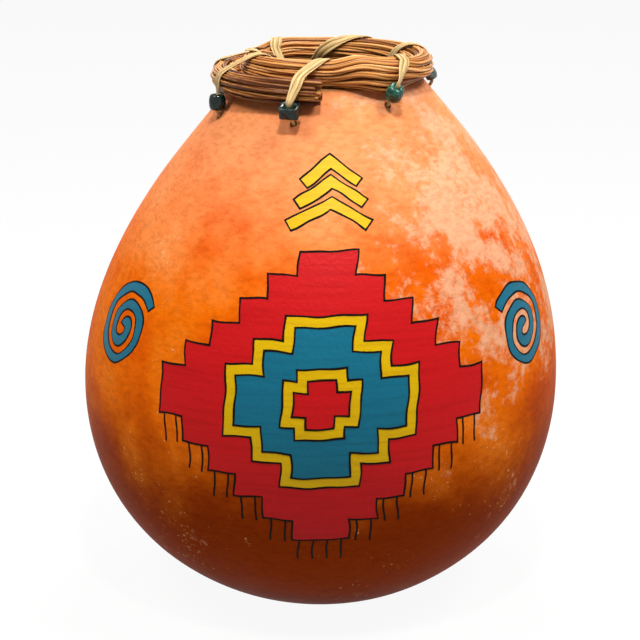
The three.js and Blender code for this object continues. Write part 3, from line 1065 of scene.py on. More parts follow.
@dataclass(frozen=True)
class PaintedDesign:
    """A stepped medallion with spirals beside it, chevrons above and a fringe of short strokes below.

    Shapes are drawn flat, in metres from their own centre, and laid on the skin with their widths true.
    """

    form: GourdForm
    front: float = -0.5 * math.pi
    medallion_width: float = 158 * MM
    medallion_height: float = 138 * MM
    medallion_middle: float = 130 * MM
    medallion_steps: int = 6
    middle_share: float = 0.5
    middle_steps: int = 3
    heart_share: float = 0.16
    heart_steps: int = 2
    outline_width: float = 0.9 * MM
    band: float = 5.0 * MM
    fringe_length: float = 13 * MM
    fringe_width: float = 0.85 * MM
    fringe_spacing: float = 4.4 * MM
    spiral_start: float = 0.35 * math.pi
    spiral_turns: float = 2.4
    spiral_points: int = 200
    spiral_pitch: float = 8.6 * MM
    spiral_width: float = 3.8 * MM
    spiral_bearing: float = math.radians(57)
    spiral_middle: float = 150 * MM
    chevron_width: float = 36 * MM
    chevron_narrowing: float = 0.16
    chevron_rise: float = 11 * MM
    chevron_stroke: float = 4.4 * MM
    chevron_spacing: float = 10.4 * MM
    chevron_middle: float = 213 * MM
    chevron_count: int = 3
    coat: float = 0.09 * MM
    root: float = 0.12 * MM
    grain: float = 2.6 * MM
    clear_share: float = 0.45
    merge: float = 1e-7
    hand: float = 0.45 * MM
    hand_wave: float = 7.0 * MM
    slow_press: float = 7.0 * MM
    slow_share: float = 0.12
    quick_press: float = 2.2 * MM
    quick_share: float = 0.06
    sharpest_mitre: float = 0.35
    longest_mitre: float = 2.0
    film_edge: float = math.radians(40)

    def build(self) -> None:
        """Lays every coat of paint, one piece for each pigment."""
        coats: Coats = {pigment: [] for pigment in Pigment}
        self.medallion(coats)
        self.spirals(coats)
        self.chevrons(coats)
        for pigment, patches in coats.items():
            name = "painted_" + pigment.name.lower()
            piece = mesh_object(name, *join_parts(patches), pigment.value.material())
            piece.data.set_sharp_from_angle(angle=self.film_edge)
            dress(piece, "gourd", VESSEL_BODY)

    def medallion(self, coats: Coats) -> None:
        """Paints the nested stepped diamonds, their outlines and the fringe under them.

        Args:
            coats: The films of each pigment, added to.
        """
        centre = (self.front, self.medallion_middle)
        nest = [
            (1.0, self.medallion_steps, 0.0, Pigment.RED),
            (self.middle_share, self.middle_steps, self.band, Pigment.YELLOW),
            (self.middle_share, self.middle_steps, 0.0, Pigment.TEAL),
            (self.heart_share, self.heart_steps, self.band, Pigment.YELLOW),
            (self.heart_share, self.heart_steps, 0.0, Pigment.RED),
        ]
        for layer, (share, steps, margin, pigment) in enumerate(nest, start=1):
            outline = self.stepped_diamond(share, steps, margin)
            coats[pigment].append(self.lay(*self.fill(outline), centre, layer))
            line = self.stroke(outline, self.outline_width, closed=True)
            coats[Pigment.BLACK].append(self.lay(*line, centre, layer + 1))
        for foot_dye_and_shade in self.fringe_feet():
            hang = np.array([foot_dye_and_shade, foot_dye_and_shade - np.array([0.0, self.fringe_length])])
            strand = self.stroke(hang, self.fringe_width, closed=False)
            coats[Pigment.BLACK].append(self.lay(*strand, centre, 1))

    def stepped_diamond(self, share: float, steps: int, margin: float) -> Array:
        """The outline of a diamond with stairs for sides.

        Args:
            share: Its share of the medallion's size.
            steps: The stairs on each side.
            margin: How far every edge is moved out.

        Returns:
            The corners in order.
        """
        half = 0.5 * share * np.array([self.medallion_width, self.medallion_height])
        stairs = []
        for i in range(steps):
            near = half * np.array([1.0 - i / steps, i / steps])
            far = half * np.array([1.0 - i / steps, (i + 1) / steps])
            stairs += [near, far]
        quarter = np.array(stairs[1:]) + margin
        half_round = np.vstack([quarter, quarter[::-1] * [-1.0, 1.0]])
        return np.vstack([half_round, half_round[::-1] * [1.0, -1.0]])

    def fringe_feet(self) -> list[Array]:
        """Spaces the fringe along the lower stairs.

        Returns:
            The points from which it hangs.
        """
        half = 0.5 * np.array([self.medallion_width, self.medallion_height])
        tread, rise = half / self.medallion_steps
        count = int(tread / self.fringe_spacing)
        feet = []
        for i in range(self.medallion_steps):
            down = -half[1] + rise * i
            for k in range(count):
                across = tread * i + (k + 0.5) * tread / count
                feet += [np.array([across, down]), np.array([-across, down])]
        return feet

    def spirals(self, coats: Coats) -> None:
        """Paints a spiral on each side of the medallion, teal on a black edge.

        Args:
            coats: The films of each pigment, added to.
        """
        turn = np.linspace(self.spiral_start, 2.0 * math.pi * self.spiral_turns, self.spiral_points)
        reach = self.spiral_pitch * turn / (2.0 * math.pi)
        for hand in (-1.0, 1.0):
            path = np.stack([hand * reach * np.cos(turn), reach * np.sin(turn)], axis=1)
            centre = (self.front + hand * self.spiral_bearing, self.spiral_middle)
            self.edged_line(coats, Pigment.TEAL, path, self.spiral_width, centre)

    def chevrons(self, coats: Coats) -> None:
        """Paints the stack of chevrons over the medallion, yellow on a black edge.

        Args:
            coats: The films of each pigment, added to.
        """
        centre = (self.front, self.chevron_middle)
        for i in range(self.chevron_count):
            shift = self.chevron_spacing * (i - 0.5 * (self.chevron_count - 1))
            wide = 0.5 * self.chevron_width * (1.0 - self.chevron_narrowing * i)
            path = np.array([[-wide, shift], [0.0, shift + self.chevron_rise], [wide, shift]])
            self.edged_line(coats, Pigment.YELLOW, path, self.chevron_stroke, centre)

    def edged_line(self, coats: Coats, pigment: Pigment, path: Array, width: float, centre: Span) -> None:
        """Paints an open brush line over a wider black one that shows as an outline all round it.

        Args:
            coats: The films of each pigment, added to.
            pigment: The line's paint.
            path: The points of the line.
            width: The line's width.
            centre: The azimuth and height of the shape's centre.
        """
        rim = self.outline_width
        edge = self.stroke(path, width + 2.0 * rim, closed=False, overrun=rim)
        body = self.stroke(path, width, closed=False)
        coats[Pigment.BLACK].append(self.lay(*edge, centre, 1))
        coats[pigment].append(self.lay(*body, centre, 2))

    def densify(self, path: Array, closed: bool) -> Array:
        """Adds points to a path so that no stretch is longer than the grain.

        Args:
            path: The points of the path.
            closed: True joins its ends.

        Returns:
            The closer points.
        """
        ends = np.vstack([path, path[:1]]) if closed else path
        dense = []
        for start, end in zip(ends[:-1], ends[1:]):
            count = max(1, math.ceil(np.linalg.norm(end - start) / self.grain))
            dense += [start + (end - start) * k / count for k in range(count)]
        if not closed:
            dense.append(ends[-1])
        return np.array(dense)

    def stroke(self, path: Array, width: float, closed: bool, overrun: float = 0.0) -> Part:
        """Draws a brush line along a path, pressed more and less by the hand.

        Args:
            path: The points of the line.
            width: The line's width.
            closed: True joins its ends.
            overrun: How far an open line runs past its ends.

        Returns:
            Flat vertices and quads.
        """
        points = self.densify(path, closed)
        if overrun:
            points[0] += overrun * unit(points[0] - points[1])
            points[-1] += overrun * unit(points[-1] - points[-2])
        count = len(points)
        before = np.roll(points, 1, axis=0)
        after = np.roll(points, -1, axis=0)
        if not closed:
            before[0] = 2 * points[0] - points[1]
            after[-1] = 2 * points[-1] - points[-2]
        come = unit(points - before)
        go = unit(after - points)
        mitre = unit(np.stack([-(come + go)[:, 1], (come + go)[:, 0]], axis=1))
        square = np.stack([-go[:, 1], go[:, 0]], axis=1)
        slant = np.maximum(self.sharpest_mitre, np.abs(np.sum(mitre * square, axis=1)))
        reach = np.clip(1.0 / slant, 1.0, self.longest_mitre)
        runs = runs_along(points)
        slow = self.slow_share * np.sin(runs / self.slow_press)
        quick = self.quick_share * np.sin(runs / self.quick_press)
        off = mitre * (0.5 * width * reach * (1.0 + slow + quick))[:, None]
        faces: Faces = []
        for i in range(count if closed else count - 1):
            k = (i + 1) % count
            faces.append((i, k, count + k, count + i))
        return np.vstack([points + off, points - off]), faces

    def fill(self, outline: Array) -> Part:
        """Fills an outline with small triangles that can follow the skin.

        Args:
            outline: The corners of the shape.

        Returns:
            Flat vertices and triangles.
        """
        edge = self.densify(outline, closed=True)
        low, high = edge.min(axis=0), edge.max(axis=0)
        columns, rows = np.meshgrid(
            np.arange(low[0], high[0], self.grain), np.arange(low[1], high[1], self.grain)
        )
        clearance = self.clear_share * self.grain
        clear = [
            point
            for point in np.stack([columns.ravel(), rows.ravel()], axis=1)
            if self.holds(outline, point) and np.min(np.linalg.norm(edge - point, axis=1)) > clearance
        ]
        points = [Vector(point) for point in [*edge, *clear]]
        loop = [(i, (i + 1) % len(edge)) for i in range(len(edge))]
        flat, _, triangles, *_ = geometry.delaunay_2d_cdt(points, loop, [], 1, self.merge)
        return np.array([tuple(v) for v in flat]), [tuple(t) for t in triangles]

    @staticmethod
    def holds(outline: Array, point: Array) -> bool:
        """Finds out if an outline encloses a point.

        Args:
            outline: The corners in order.
            point: The point.

        Returns:
            True if it does.
        """
        ends = np.roll(outline, -1, axis=0)
        crosses = (outline[:, 1] > point[1]) != (ends[:, 1] > point[1])
        drop = np.where(crosses, ends[:, 1] - outline[:, 1], 1.0)
        at = outline[:, 0] + (point[1] - outline[:, 1]) * (ends[:, 0] - outline[:, 0]) / drop
        return bool(np.count_nonzero(crosses & (at > point[0])) % 2)

    def lay(self, flat: Array, faces: Faces, centre: Span, layer: int) -> Part:
        """Lays a flat shape on the skin as a thin film of paint, with the shake of the hand in its edges.

        Args:
            flat: Flat vertices, in metres from the shape's centre.
            faces: Faces of the flat shape.
            centre: The azimuth and height of the shape's centre.
            layer: How many coats lie under its top.

        Returns:
            The vertices and faces of the closed film.
        """
        x, y = (flat / self.hand_wave).T
        shake_x = np.sin(1.3 * y + 0.7) + 0.5 * np.sin(3.1 * y - x)
        shake_y = np.sin(1.1 * x - 0.4) + 0.5 * np.sin(2.7 * x + y)
        shaken = flat + self.hand * np.stack([shake_x, shake_y], axis=1)
        azimuth, height = centre
        along = self.form.along_at(height) + shaken[:, 1]
        bearing = azimuth + shaken[:, 0] / self.form.radius_at(along)
        top = self.form.skin(bearing, along, layer * self.coat)
        bottom = self.form.skin(bearing, along, -self.root)
        count = len(flat)
        used: dict[tuple[int, int], int] = {}
        for face in faces:
            for a, b in zip(face, face[1:] + face[:1]):
                used[(min(a, b), max(a, b))] = used.get((min(a, b), max(a, b)), 0) + 1
        film: Faces = list(faces)
        film += [tuple(count + k for k in reversed(face)) for face in faces]
        film += [(a, b, count + b, count + a) for (a, b), uses in used.items() if uses == 1]
        return np.vstack([top, bottom]), film


# Stem coil


@dataclass(frozen=True)
class Section:
    """The oval of one coil crossing: how far its rows stretch, and which ways they run."""

    long: float
    short: float
    along: Array
    across: Array


@dataclass(frozen=True)
class Strand:
    """A whole stem or one of its rinds: its mesh, and the values of each vertex that the finish reads."""

    mesh: Part
    values: dict[str, Array]


@dataclass(frozen=True)
class StemCoil:
    """Plant stems laid in hexagonal rows and wound round the cut edge.

    Azimuths in degrees fall from the cut start at the front, round the left, back and right, to the tucked end. The
    ranges are those of the seeded draws that make each stem grow its own way.
    """

    form: GourdForm
    finish: DriedStem
    stem_diameter: float = 2.1 * MM
    stem_gap: float = 0.4 * MM
    hex_rings: int = 2
    roundness: float = 0.75
    swell_share: float = 0.85
    coil_start: float = 264.0
    coil_end: float = -200.0
    climb_start: float = 150.0
    climb_end: float = 95.0
    tuck_start: float = -150.0
    tuck_shift: float = 8.0 * MM
    bulge_centre: float = -62.0
    bulge_half_width: float = 32.0
    bulge_stretch: float = 0.45
    bulge_squeeze: float = 0.07
    bulge_shift: float = 3.5 * MM
    bulge_tilt: float = math.radians(25)
    slump_centre: float = -28.0
    slump_half_width: float = 60.0
    slump_shift: float = 5.0 * MM
    start_stagger: float = 1.6
    start_wave: float = 2.4
    end_stagger: float = 4.0
    end_wave: float = 1.7
    seat_gap: float = 0.35 * MM
    turn_gap: float = 0.45 * MM
    rest_steps: int = 144
    stations_per_turn: int = 150
    seed: int = 11
    split_counts: tuple[int, ...] = (1, 1, 3)
    thick_range: Span = (1.16, 1.3)
    slim_range: Span = (0.86, 0.98)
    tone_range: Span = (-0.14, 0.20)
    rind_tone_range: Span = (-0.12, 0.14)
    ribs: int = 4
    rib_sides: int = 4
    rib_depth: float = 0.26
    # Painted shade that darkens the bottoms of the rib grooves
    groove_painted_shade: float = -0.34
    rib_lay: float = 280 * MM
    twist_per_turn: float = math.radians(40)
    strand_lay: float = 95 * MM
    wander: float = 0.25 * MM
    wander_waves: Span = (3.1, 2.3)
    waist_share: float = 0.06
    waist_wave: float = 23 * MM
    knuckle_spacing: float = 78 * MM
    knuckle_half: float = 2 * MM
    knuckle_share: float = 0.12
    fullest: float = 0.99
    # The first stretch of each stem, on the lower lap at the front, is darker: partly a darker butt end, partly
    # painted shade on the lower lap
    butt_length: float = 30 * MM
    butt_fade: float = 45 * MM
    butt_tone_and_shade: float = -0.22
    pith_steps: tuple[Span, ...] = ((0.55, 0.2 * MM), (0.85, 0.0))
    pattern_shift: float = 3.0

    @property
    def pitch(self) -> float:
        """The distance between neighbouring stems."""
        return self.stem_diameter + self.stem_gap

    @property
    def layout_radius(self) -> float:
        """The reach of the outermost stems' middles."""
        return self.hex_rings * self.pitch

    @property
    def coil_radius(self) -> float:
        """The reach of a round crossing."""
        return self.layout_radius + 0.5 * self.stem_diameter

    def section(self, at: float) -> Section:
        """The coil's oval at an azimuth, stretched and tilted where it bulges.

        Args:
            at: Azimuth in degrees.

        Returns:
            The oval.
        """
        bulge = hump(at, self.bulge_centre, self.bulge_half_width)
        tilt = bulge * self.bulge_tilt
        return Section(
            long=1.0 + self.bulge_stretch * bulge,
            short=1.0 - self.bulge_squeeze * bulge,
            along=np.array([-math.sin(tilt), math.cos(tilt)]),
            across=np.array([math.cos(tilt), math.sin(tilt)]),
        )

    def support(self, section: Section, ways: Array) -> Array:
        """The outermost points of a section.

        Args:
            section: The oval.
            ways: One direction in the plane of radius and height, or rows of them.

        Returns:
            The point furthest in each direction, from the section's middle.
        """
        u = self.layout_radius * section.long * (ways @ section.along)[..., None]
        v = self.layout_radius * section.short * (ways @ section.across)[..., None]
        oval = section.long * u * section.along + section.short * v * section.across
        return oval * self.layout_radius / np.hypot(u, v) + ways * 0.5 * self.stem_diameter

    def rest_height(self, radius: float, section: Section) -> float:
        """The height at which a section rests on the cut edge.

        Args:
            radius: The distance of its middle from the axis.
            section: The oval.

        Returns:
            The height of its middle.
        """
        form = self.form
        angles = once_round(self.rest_steps)
        points = self.support(section, np.stack([np.cos(angles), np.sin(angles)], axis=1))
        at = radius + points[:, 0]
        ledge = form.rim_height - np.maximum(0.0, at - form.rim_radius) / math.tan(form.neck_slope)
        return float(np.max((ledge - points[:, 1])[at >= form.inner_edge[0]])) + self.seat_gap

    @cached_property
    def lap_radii(self) -> Span:
        """How far out the laps lie.

        Returns:
            The radii of the lower lap, which leans on the neck, and of the upper lap over the wall.
        """
        form = self.form
        upper = 0.5 * (form.rim_radius + form.inner_edge[0])
        centre = np.array([upper, self.rest_height(upper, self.section(0.0))])
        down = form.neck_depth(centre)
        out = float((centre - form.rim_edge) @ form.neck_out)
        lower_out = self.coil_radius + self.seat_gap
        lap = 2.0 * self.coil_radius + self.turn_gap
        lower_down = down + math.sqrt(lap**2 - (out - lower_out) ** 2)
        return float(form.neck_point(lower_down, lower_out)[0]) + self.seat_gap, upper

    def centre(self, at: float) -> tuple[Section, Array]:
        """The coil as it climbs, bulges, slumps and tucks in.

        Args:
            at: Azimuth in degrees.

        Returns:
            Its section, and the section's middle as radius and height.
        """
        lower, upper = self.lap_radii
        climb = smooth((self.climb_start - at) / (self.climb_start - self.climb_end))
        tuck = smooth((self.tuck_start - at) / (self.tuck_start - self.coil_end))
        bulge = self.bulge_shift * hump(at, self.bulge_centre, self.bulge_half_width)
        slump = self.slump_shift * hump(at, self.slump_centre, self.slump_half_width)
        section = self.section(at)
        radius = float(lower + (upper - lower) * climb + bulge + slump - self.tuck_shift * tuck)
        return section, np.array([radius, self.rest_height(radius, section)])

    def laps(self, at: float) -> list[tuple[Section, Array]]:
        """The laps that pass an azimuth.

        Args:
            at: Azimuth in degrees.

        Returns:
            Their sections and middles, the lower lap first.
        """
        turns = (at, at - 360.0, at + 360.0)
        last = self.coil_start + self.start_stagger
        return [self.centre(lap) for lap in turns if self.coil_end <= lap <= last]

    def hull(self, at: float, angle: float, clearance: float) -> Array:
        """The point of a strip pulled tight round the laps and the mouth's inner edge.

        Args:
            at: Azimuth in degrees.
            angle: The way that the strip faces, in the plane of radius and height.
            clearance: Distance of the strip's middle off the coil.

        Returns:
            Radius and height.
        """
        way = direction(angle)
        points = [middle + self.support(section, way) for section, middle in self.laps(at)]
        points.append(self.form.inner_edge)
        return max(points, key=lambda point: float(point @ way)) + clearance * way

    def build(self) -> None:
        """Makes one stem for each of the coil's solids, each with its own tone, taper, wander and knuckles."""
        finish = self.finish.material()
        draw = random.Random(self.seed)
        for number, spot in enumerate(self.spots(), start=1):
            piece = self.stem(number, spot, draw, finish)
            dress(piece, "stems", VESSEL_BODY, "rim_stem_%02d" % number)

    def spots(self) -> list[Array]:
        """Each stem's place in the bundle, row by row."""
        reach = range(-self.hex_rings, self.hex_rings + 1)
        return [self.press(i, row) for row in reach for i in reach if abs(i + row) <= self.hex_rings]

    def press(self, i: int, row: int) -> Array:
        """A stem's place in the hexagonal rows, with the flats between their corners pressed round.

        Args:
            i: The stem's number in its row, 0 in the middle.
            row: The row's number, 0 in the middle.

        Returns:
            The place from the bundle's middle.
        """
        spot = self.pitch * np.array([i + 0.5 * row, row * math.sin(math.pi / 3)])
        ring = max(abs(i), abs(row), abs(i + row))
        if ring == 0:
            return spot
        return spot * (1.0 + self.roundness * (ring * self.pitch / np.linalg.norm(spot) - 1.0))

    def stem(self, number: int, spot: Array, draw: random.Random, finish: Material) -> Object:
        """Makes one stem.

        Args:
            number: The stem's number.
            spot: The stem's place in the bundle.
            draw: The seeded draws for its own growth.
            finish: The rind.

        Returns:
            The stem.
        """
        start = self.coil_start + self.start_stagger * math.sin((number - 1) * self.start_wave)
        end = self.coil_end + self.end_stagger * (1.0 + math.sin((number - 1) * self.end_wave))
        growth = [draw.uniform(0.0, 2.0 * math.pi) for _ in range(3)]
        thick = draw.uniform(*self.thick_range) * 0.5 * self.stem_diameter
        tone = draw.uniform(*self.tone_range)
        steps = math.ceil((start - end) / 360.0 * self.stations_per_turn)
        stations = np.linspace(start, end, steps + 1)
        middles = []
        for at in stations:
            section, middle = self.centre(float(at))
            twist = self.twist_per_turn * at / 360.0
            u = spot[0] * math.cos(twist) - spot[1] * math.sin(twist)
            v = spot[0] * math.sin(twist) + spot[1] * math.cos(twist)
            u += self.wander * math.sin(self.wander_waves[0] * math.radians(at) + growth[0])
            v += self.wander * math.sin(self.wander_waves[1] * math.radians(at) + growth[1])
            middles.append(middle + u * section.long * section.along + v * section.short * section.across)
        flat = np.array(middles)
        runs = runs_along(self.form.place(np.radians(stations), flat[:, 0], flat[:, 1]))
        count = draw.choice(self.split_counts)
        strands = [
            self.strand(flat, stations, runs, thick, count, growth[2] + k * 2.0 * math.pi / count, draw)
            for k in range(count)
        ]
        vertices, faces = join_parts([strand.mesh for strand in strands])
        piece = mesh_object("wound_stem_%02d" % number, vertices, faces, finish)
        shifts = {"along": self.pattern_shift * number, "around": 0.0, "tone": tone, "cut": 0.0}
        for name, shift in shifts.items():
            values = np.concatenate([strand.values[name] for strand in strands])
            set_attribute(piece, name, values + shift)
        return piece

    def strand(
        self,
        flat: Array,
        stations: Array,
        runs: Array,
        thick: float,
        count: int,
        phase: float,
        draw: random.Random,
    ) -> Strand:
        """A whole ribbed stem, or one of the three rinds that a stem split into as it was twisted.

        Args:
            flat: The stem's middles as radius and height.
            stations: Their azimuths in degrees.
            runs: Their runs along the stem.
            thick: The stem's radius.
            count: How many rinds the stem split into.
            phase: Where round the stem the strand starts, in radians.
            draw: The seeded draws for its own growth.

        Returns:
            The strand.
        """
        sides = self.ribs * self.rib_sides
        turn = once_round(sides)
        groove = np.where((np.arange(sides) % self.rib_sides == 0) & (count == 1), 1.0, 0.0)
        reach = 1.0 - self.rib_depth * groove
        radius = thick if count == 1 else thick / (1.0 + 1.0 / math.sin(math.pi / count))
        lay = phase + 2.0 * math.pi * runs / self.strand_lay
        offset = flat + (thick - radius) * np.stack([np.cos(lay), np.sin(lay)], axis=1)
        knuckle_at = draw.uniform(0.0, self.knuckle_spacing)
        slim = draw.uniform(*self.slim_range)
        rings = []
        for at, middle, run in zip(stations, offset, runs):
            section = self.section(float(at))
            past = (run - knuckle_at) % self.knuckle_spacing
            knuckle = self.knuckle_share * hump(past, self.knuckle_half, self.knuckle_half)
            waist = self.waist_share * math.sin(run / self.waist_wave + phase)
            size = radius * min(self.fullest, slim + waist + knuckle)
            tall = size * (1.0 + self.swell_share * (section.long - 1.0))
            roll = turn + phase + 2.0 * math.pi * run / self.rib_lay
            ring = middle + size * np.outer(reach * np.cos(roll), section.across)
            ring += tall * np.outer(reach * np.sin(roll), section.along)
            rings.append(self.form.place(math.radians(at), ring[:, 0], ring[:, 1]))
        rings, lengths, cut = self.recess_ends(rings, list(runs))
        arc = np.minimum(turn, 2.0 * math.pi - turn) * radius
        along = np.append(np.repeat(lengths, sides), [0.0, lengths[-1]])
        # The lower lap's first stretch is darkened: the butt end's own tone plus painted shade
        shade = self.butt_tone_and_shade * (1.0 - smooth((along - self.butt_length) / self.butt_fade))
        # Painted shade in the bottoms of the rib grooves
        shade[:-2] += self.groove_painted_shade * np.tile(groove, len(rings))
        values = {
            "along": along + phase,
            "around": np.append(np.tile(arc, len(rings)), [0.0, 0.0]),
            "tone": draw.uniform(*self.rind_tone_range) + shade,
            "cut": np.append(np.repeat(cut, sides), [1.0, 1.0]),
        }
        return Strand(loft(rings), values)

    def recess_ends(self, rings: list[Array], lengths: list[float]) -> tuple[list[Array], list[float], list[float]]:
        """Rounds a stem's cut ends a little and sinks the pith in them.

        Args:
            rings: The stem's rings.
            lengths: The run at each ring.

        Returns:
            The longer rows of rings and runs, and how far each ring is a cut face.
        """
        head = self.sunk(rings[0], rings[1])
        tail = self.sunk(rings[-1], rings[-2])[::-1]
        ends = len(self.pith_steps)
        runs = [lengths[0]] * ends + lengths + [lengths[-1]] * ends
        cut = [1.0] * ends + [0.0] * len(rings) + [1.0] * ends
        return head + rings + tail, runs, cut

    def sunk(self, end: Array, inner: Array) -> list[Array]:
        """The rings of a cut face with sunk pith.

        Args:
            end: The stem's last ring.
            inner: The ring before it.

        Returns:
            Rings from the pith out to the cut's edge.
        """
        middle = end.mean(axis=0)
        inward = unit(inner.mean(axis=0) - middle)
        return [middle + (end - middle) * wide + inward * deep for wide, deep in self.pith_steps]


# Beads


class BeadKind(Enum):
    """How a bead was made: turned to a barrel, turned to a small one, or sawn to a slab."""

    BARREL = "barrel"
    SMALL = "small_barrel"
    SLAB = "slab"


@dataclass(frozen=True)
class Bead:
    """One bead on the strip: its body, its place and the way of its bore."""

    number: int
    kind: BeadKind
    middle: Array
    bore: Array
    lean: float

    @property
    def azimuth(self) -> float:
        """The bead's azimuth round the mouth, in radians."""
        return math.atan2(self.middle[1], self.middle[0] - self.lean)

    @property
    def outward(self) -> float:
        """How far the bore leans away from the mouth's axis."""
        return self.bore[0] * math.cos(self.azimuth) + self.bore[1] * math.sin(self.azimuth)


@dataclass(frozen=True)
class BeadString:
    """The stone beads, each free to spin on the raffia.

    The belly's and the edge's rings stand at shares of a bead's half length.
    """

    form: GourdForm
    barrel_diameter: float = 8.0 * MM
    barrel_length: float = 7.6 * MM
    barrel_end: float = 5.4 * MM
    small_share: float = 0.75
    slab_length: float = 9.5 * MM
    slab_width: float = 7.5 * MM
    slab_thickness: float = 5.5 * MM
    slab_squareness: float = 7.0
    slab_fill: float = 0.97
    bore: float = 2.6 * MM
    bore_inset: float = 0.15 * MM
    edge: float = 0.5 * MM
    edge_from: float = 0.94
    edge_middle: float = 0.985
    belly_rings: int = 11
    chips: int = 3
    chip: float = 0.12 * MM
    facets: int = 7
    facet_share: float = 0.012
    sides: int = 56
    order: tuple[BeadKind, ...] = (
        BeadKind.SMALL,
        BeadKind.SLAB,
        BeadKind.BARREL,
        BeadKind.BARREL,
        BeadKind.BARREL,
        BeadKind.SLAB,
        BeadKind.BARREL,
    )

    @cached_property
    def beads(self) -> list[Bead]:
        """Reads the beads' places.

        Returns:
            The beads where the frame's spin joints hold them.
        """
        joints = frame["record"]["behaviour"]["joints"]
        return [
            Bead(
                i + 1,
                self.order[i],
                np.array(joint["pos_m"]),
                np.array(joint["axis"]),
                float(self.form.lean(joint["pos_m"][2])),
            )
            for i, joint in enumerate(joints)
        ]

    def length(self, kind: BeadKind) -> float:
        """A bead's length along its bore."""
        return self.slab_thickness if kind is BeadKind.SLAB else self.barrel_length * self.share(kind)

    def share(self, kind: BeadKind) -> float:
        """A turned bead's size as a share of a full barrel."""
        return self.small_share if kind is BeadKind.SMALL else 1.0

    def build(self) -> None:
        """Makes every bead: most in near-black stone, the one at the right in grey, and its neighbour in green."""
        black = TumbledStone("black_green_stone", "#000201", "#03201a", "#1c574c").material()
        odd = {
            1: TumbledStone("grey_green_stone", "#2a312f", "#5d6864", "#8f9b95").material(),
            7: TumbledStone("green_stone", "#04251b", "#18705d", "#74c2af").material(),
        }
        for bead in self.beads:
            vertices, faces = loft([self.seat(bead, ring) for ring in self.rings(bead)], ring_closes=True)
            name = "stone_bead_%d" % bead.number
            piece = mesh_object(name, vertices, faces, odd.get(bead.number, black))
            dress(piece, "bead_stone", "bead_%d_body" % bead.number, "bead_%d" % bead.number)

    def rings(self, bead: Bead) -> list[Array]:
        """Shapes a bead in its own frame.

        Args:
            bead: The bead.

        Returns:
            Rings up its outside and back down its bore.
        """
        half = 0.5 * self.length(bead.kind)
        turn = once_round(self.sides)
        outline = self.outline(bead, turn)
        belly = np.linspace(-self.edge_from, self.edge_from, self.belly_rings)
        heights = np.concatenate([[-1.0, -self.edge_middle], belly, [self.edge_middle, 1.0]]) * half
        walls = []
        for height in heights:
            share = abs(height) / half
            reach = 1.0
            if bead.kind is not BeadKind.SLAB:
                swell = math.sqrt(max(0.0, 1.0 - share**2))
                full = self.barrel_end + (self.barrel_diameter - self.barrel_end) * swell
                reach = 0.5 * full * self.share(bead.kind)
            inset = self.edge * max(0.0, (share - self.edge_from) / (1.0 - self.edge_from)) ** 2
            worn = self.chip * np.sin(self.chips * turn + 2.0 * height / half + bead.number)
            walls.append((outline * reach - inset + worn, height))
        for height in (half - self.bore_inset, 0.0, -half + self.bore_inset):
            walls.append((0.5 * self.bore, height))
        return [
            np.stack([radius * np.cos(turn), radius * np.sin(turn), np.full_like(turn, height)], axis=1)
            for radius, height in walls
        ]

    def outline(self, bead: Bead, turn: Array) -> Array:
        """A bead's outline across its bore.

        Args:
            bead: The bead.
            turn: Angles round the bore.

        Returns:
            Shares of a barrel's radius, with faint facets, or a slab's own reach.
        """
        if bead.kind is not BeadKind.SLAB:
            return 1.0 + self.facet_share * np.cos(self.facets * turn + bead.number)
        power = self.slab_squareness
        x = np.abs(np.cos(turn)) / (0.5 * self.slab_length)
        y = np.abs(np.sin(turn)) / (0.5 * self.slab_width)
        return (x**power + y**power) ** (-1.0 / power) * self.slab_fill

    def seat(self, bead: Bead, ring: Array) -> Array:
        """Turns a ring to a bead's bore and moves it to the bead's place.

        Args:
            bead: The bead.
            ring: The ring in the bead's own frame.

        Returns:
            The ring in place.
        """
        across = np.array([-math.sin(bead.azimuth), math.cos(bead.azimuth), 0.0])
        face = np.cross(bead.bore, across)
        return bead.middle + ring @ np.stack([across, face, bead.bore])


# Raffia


@dataclass(frozen=True)
class StripPoint:
    """One point of the strip: its place, the way its flat side faces, and its width and thickness."""

    place: Array
    facing: Array
    width: float
    thickness: float


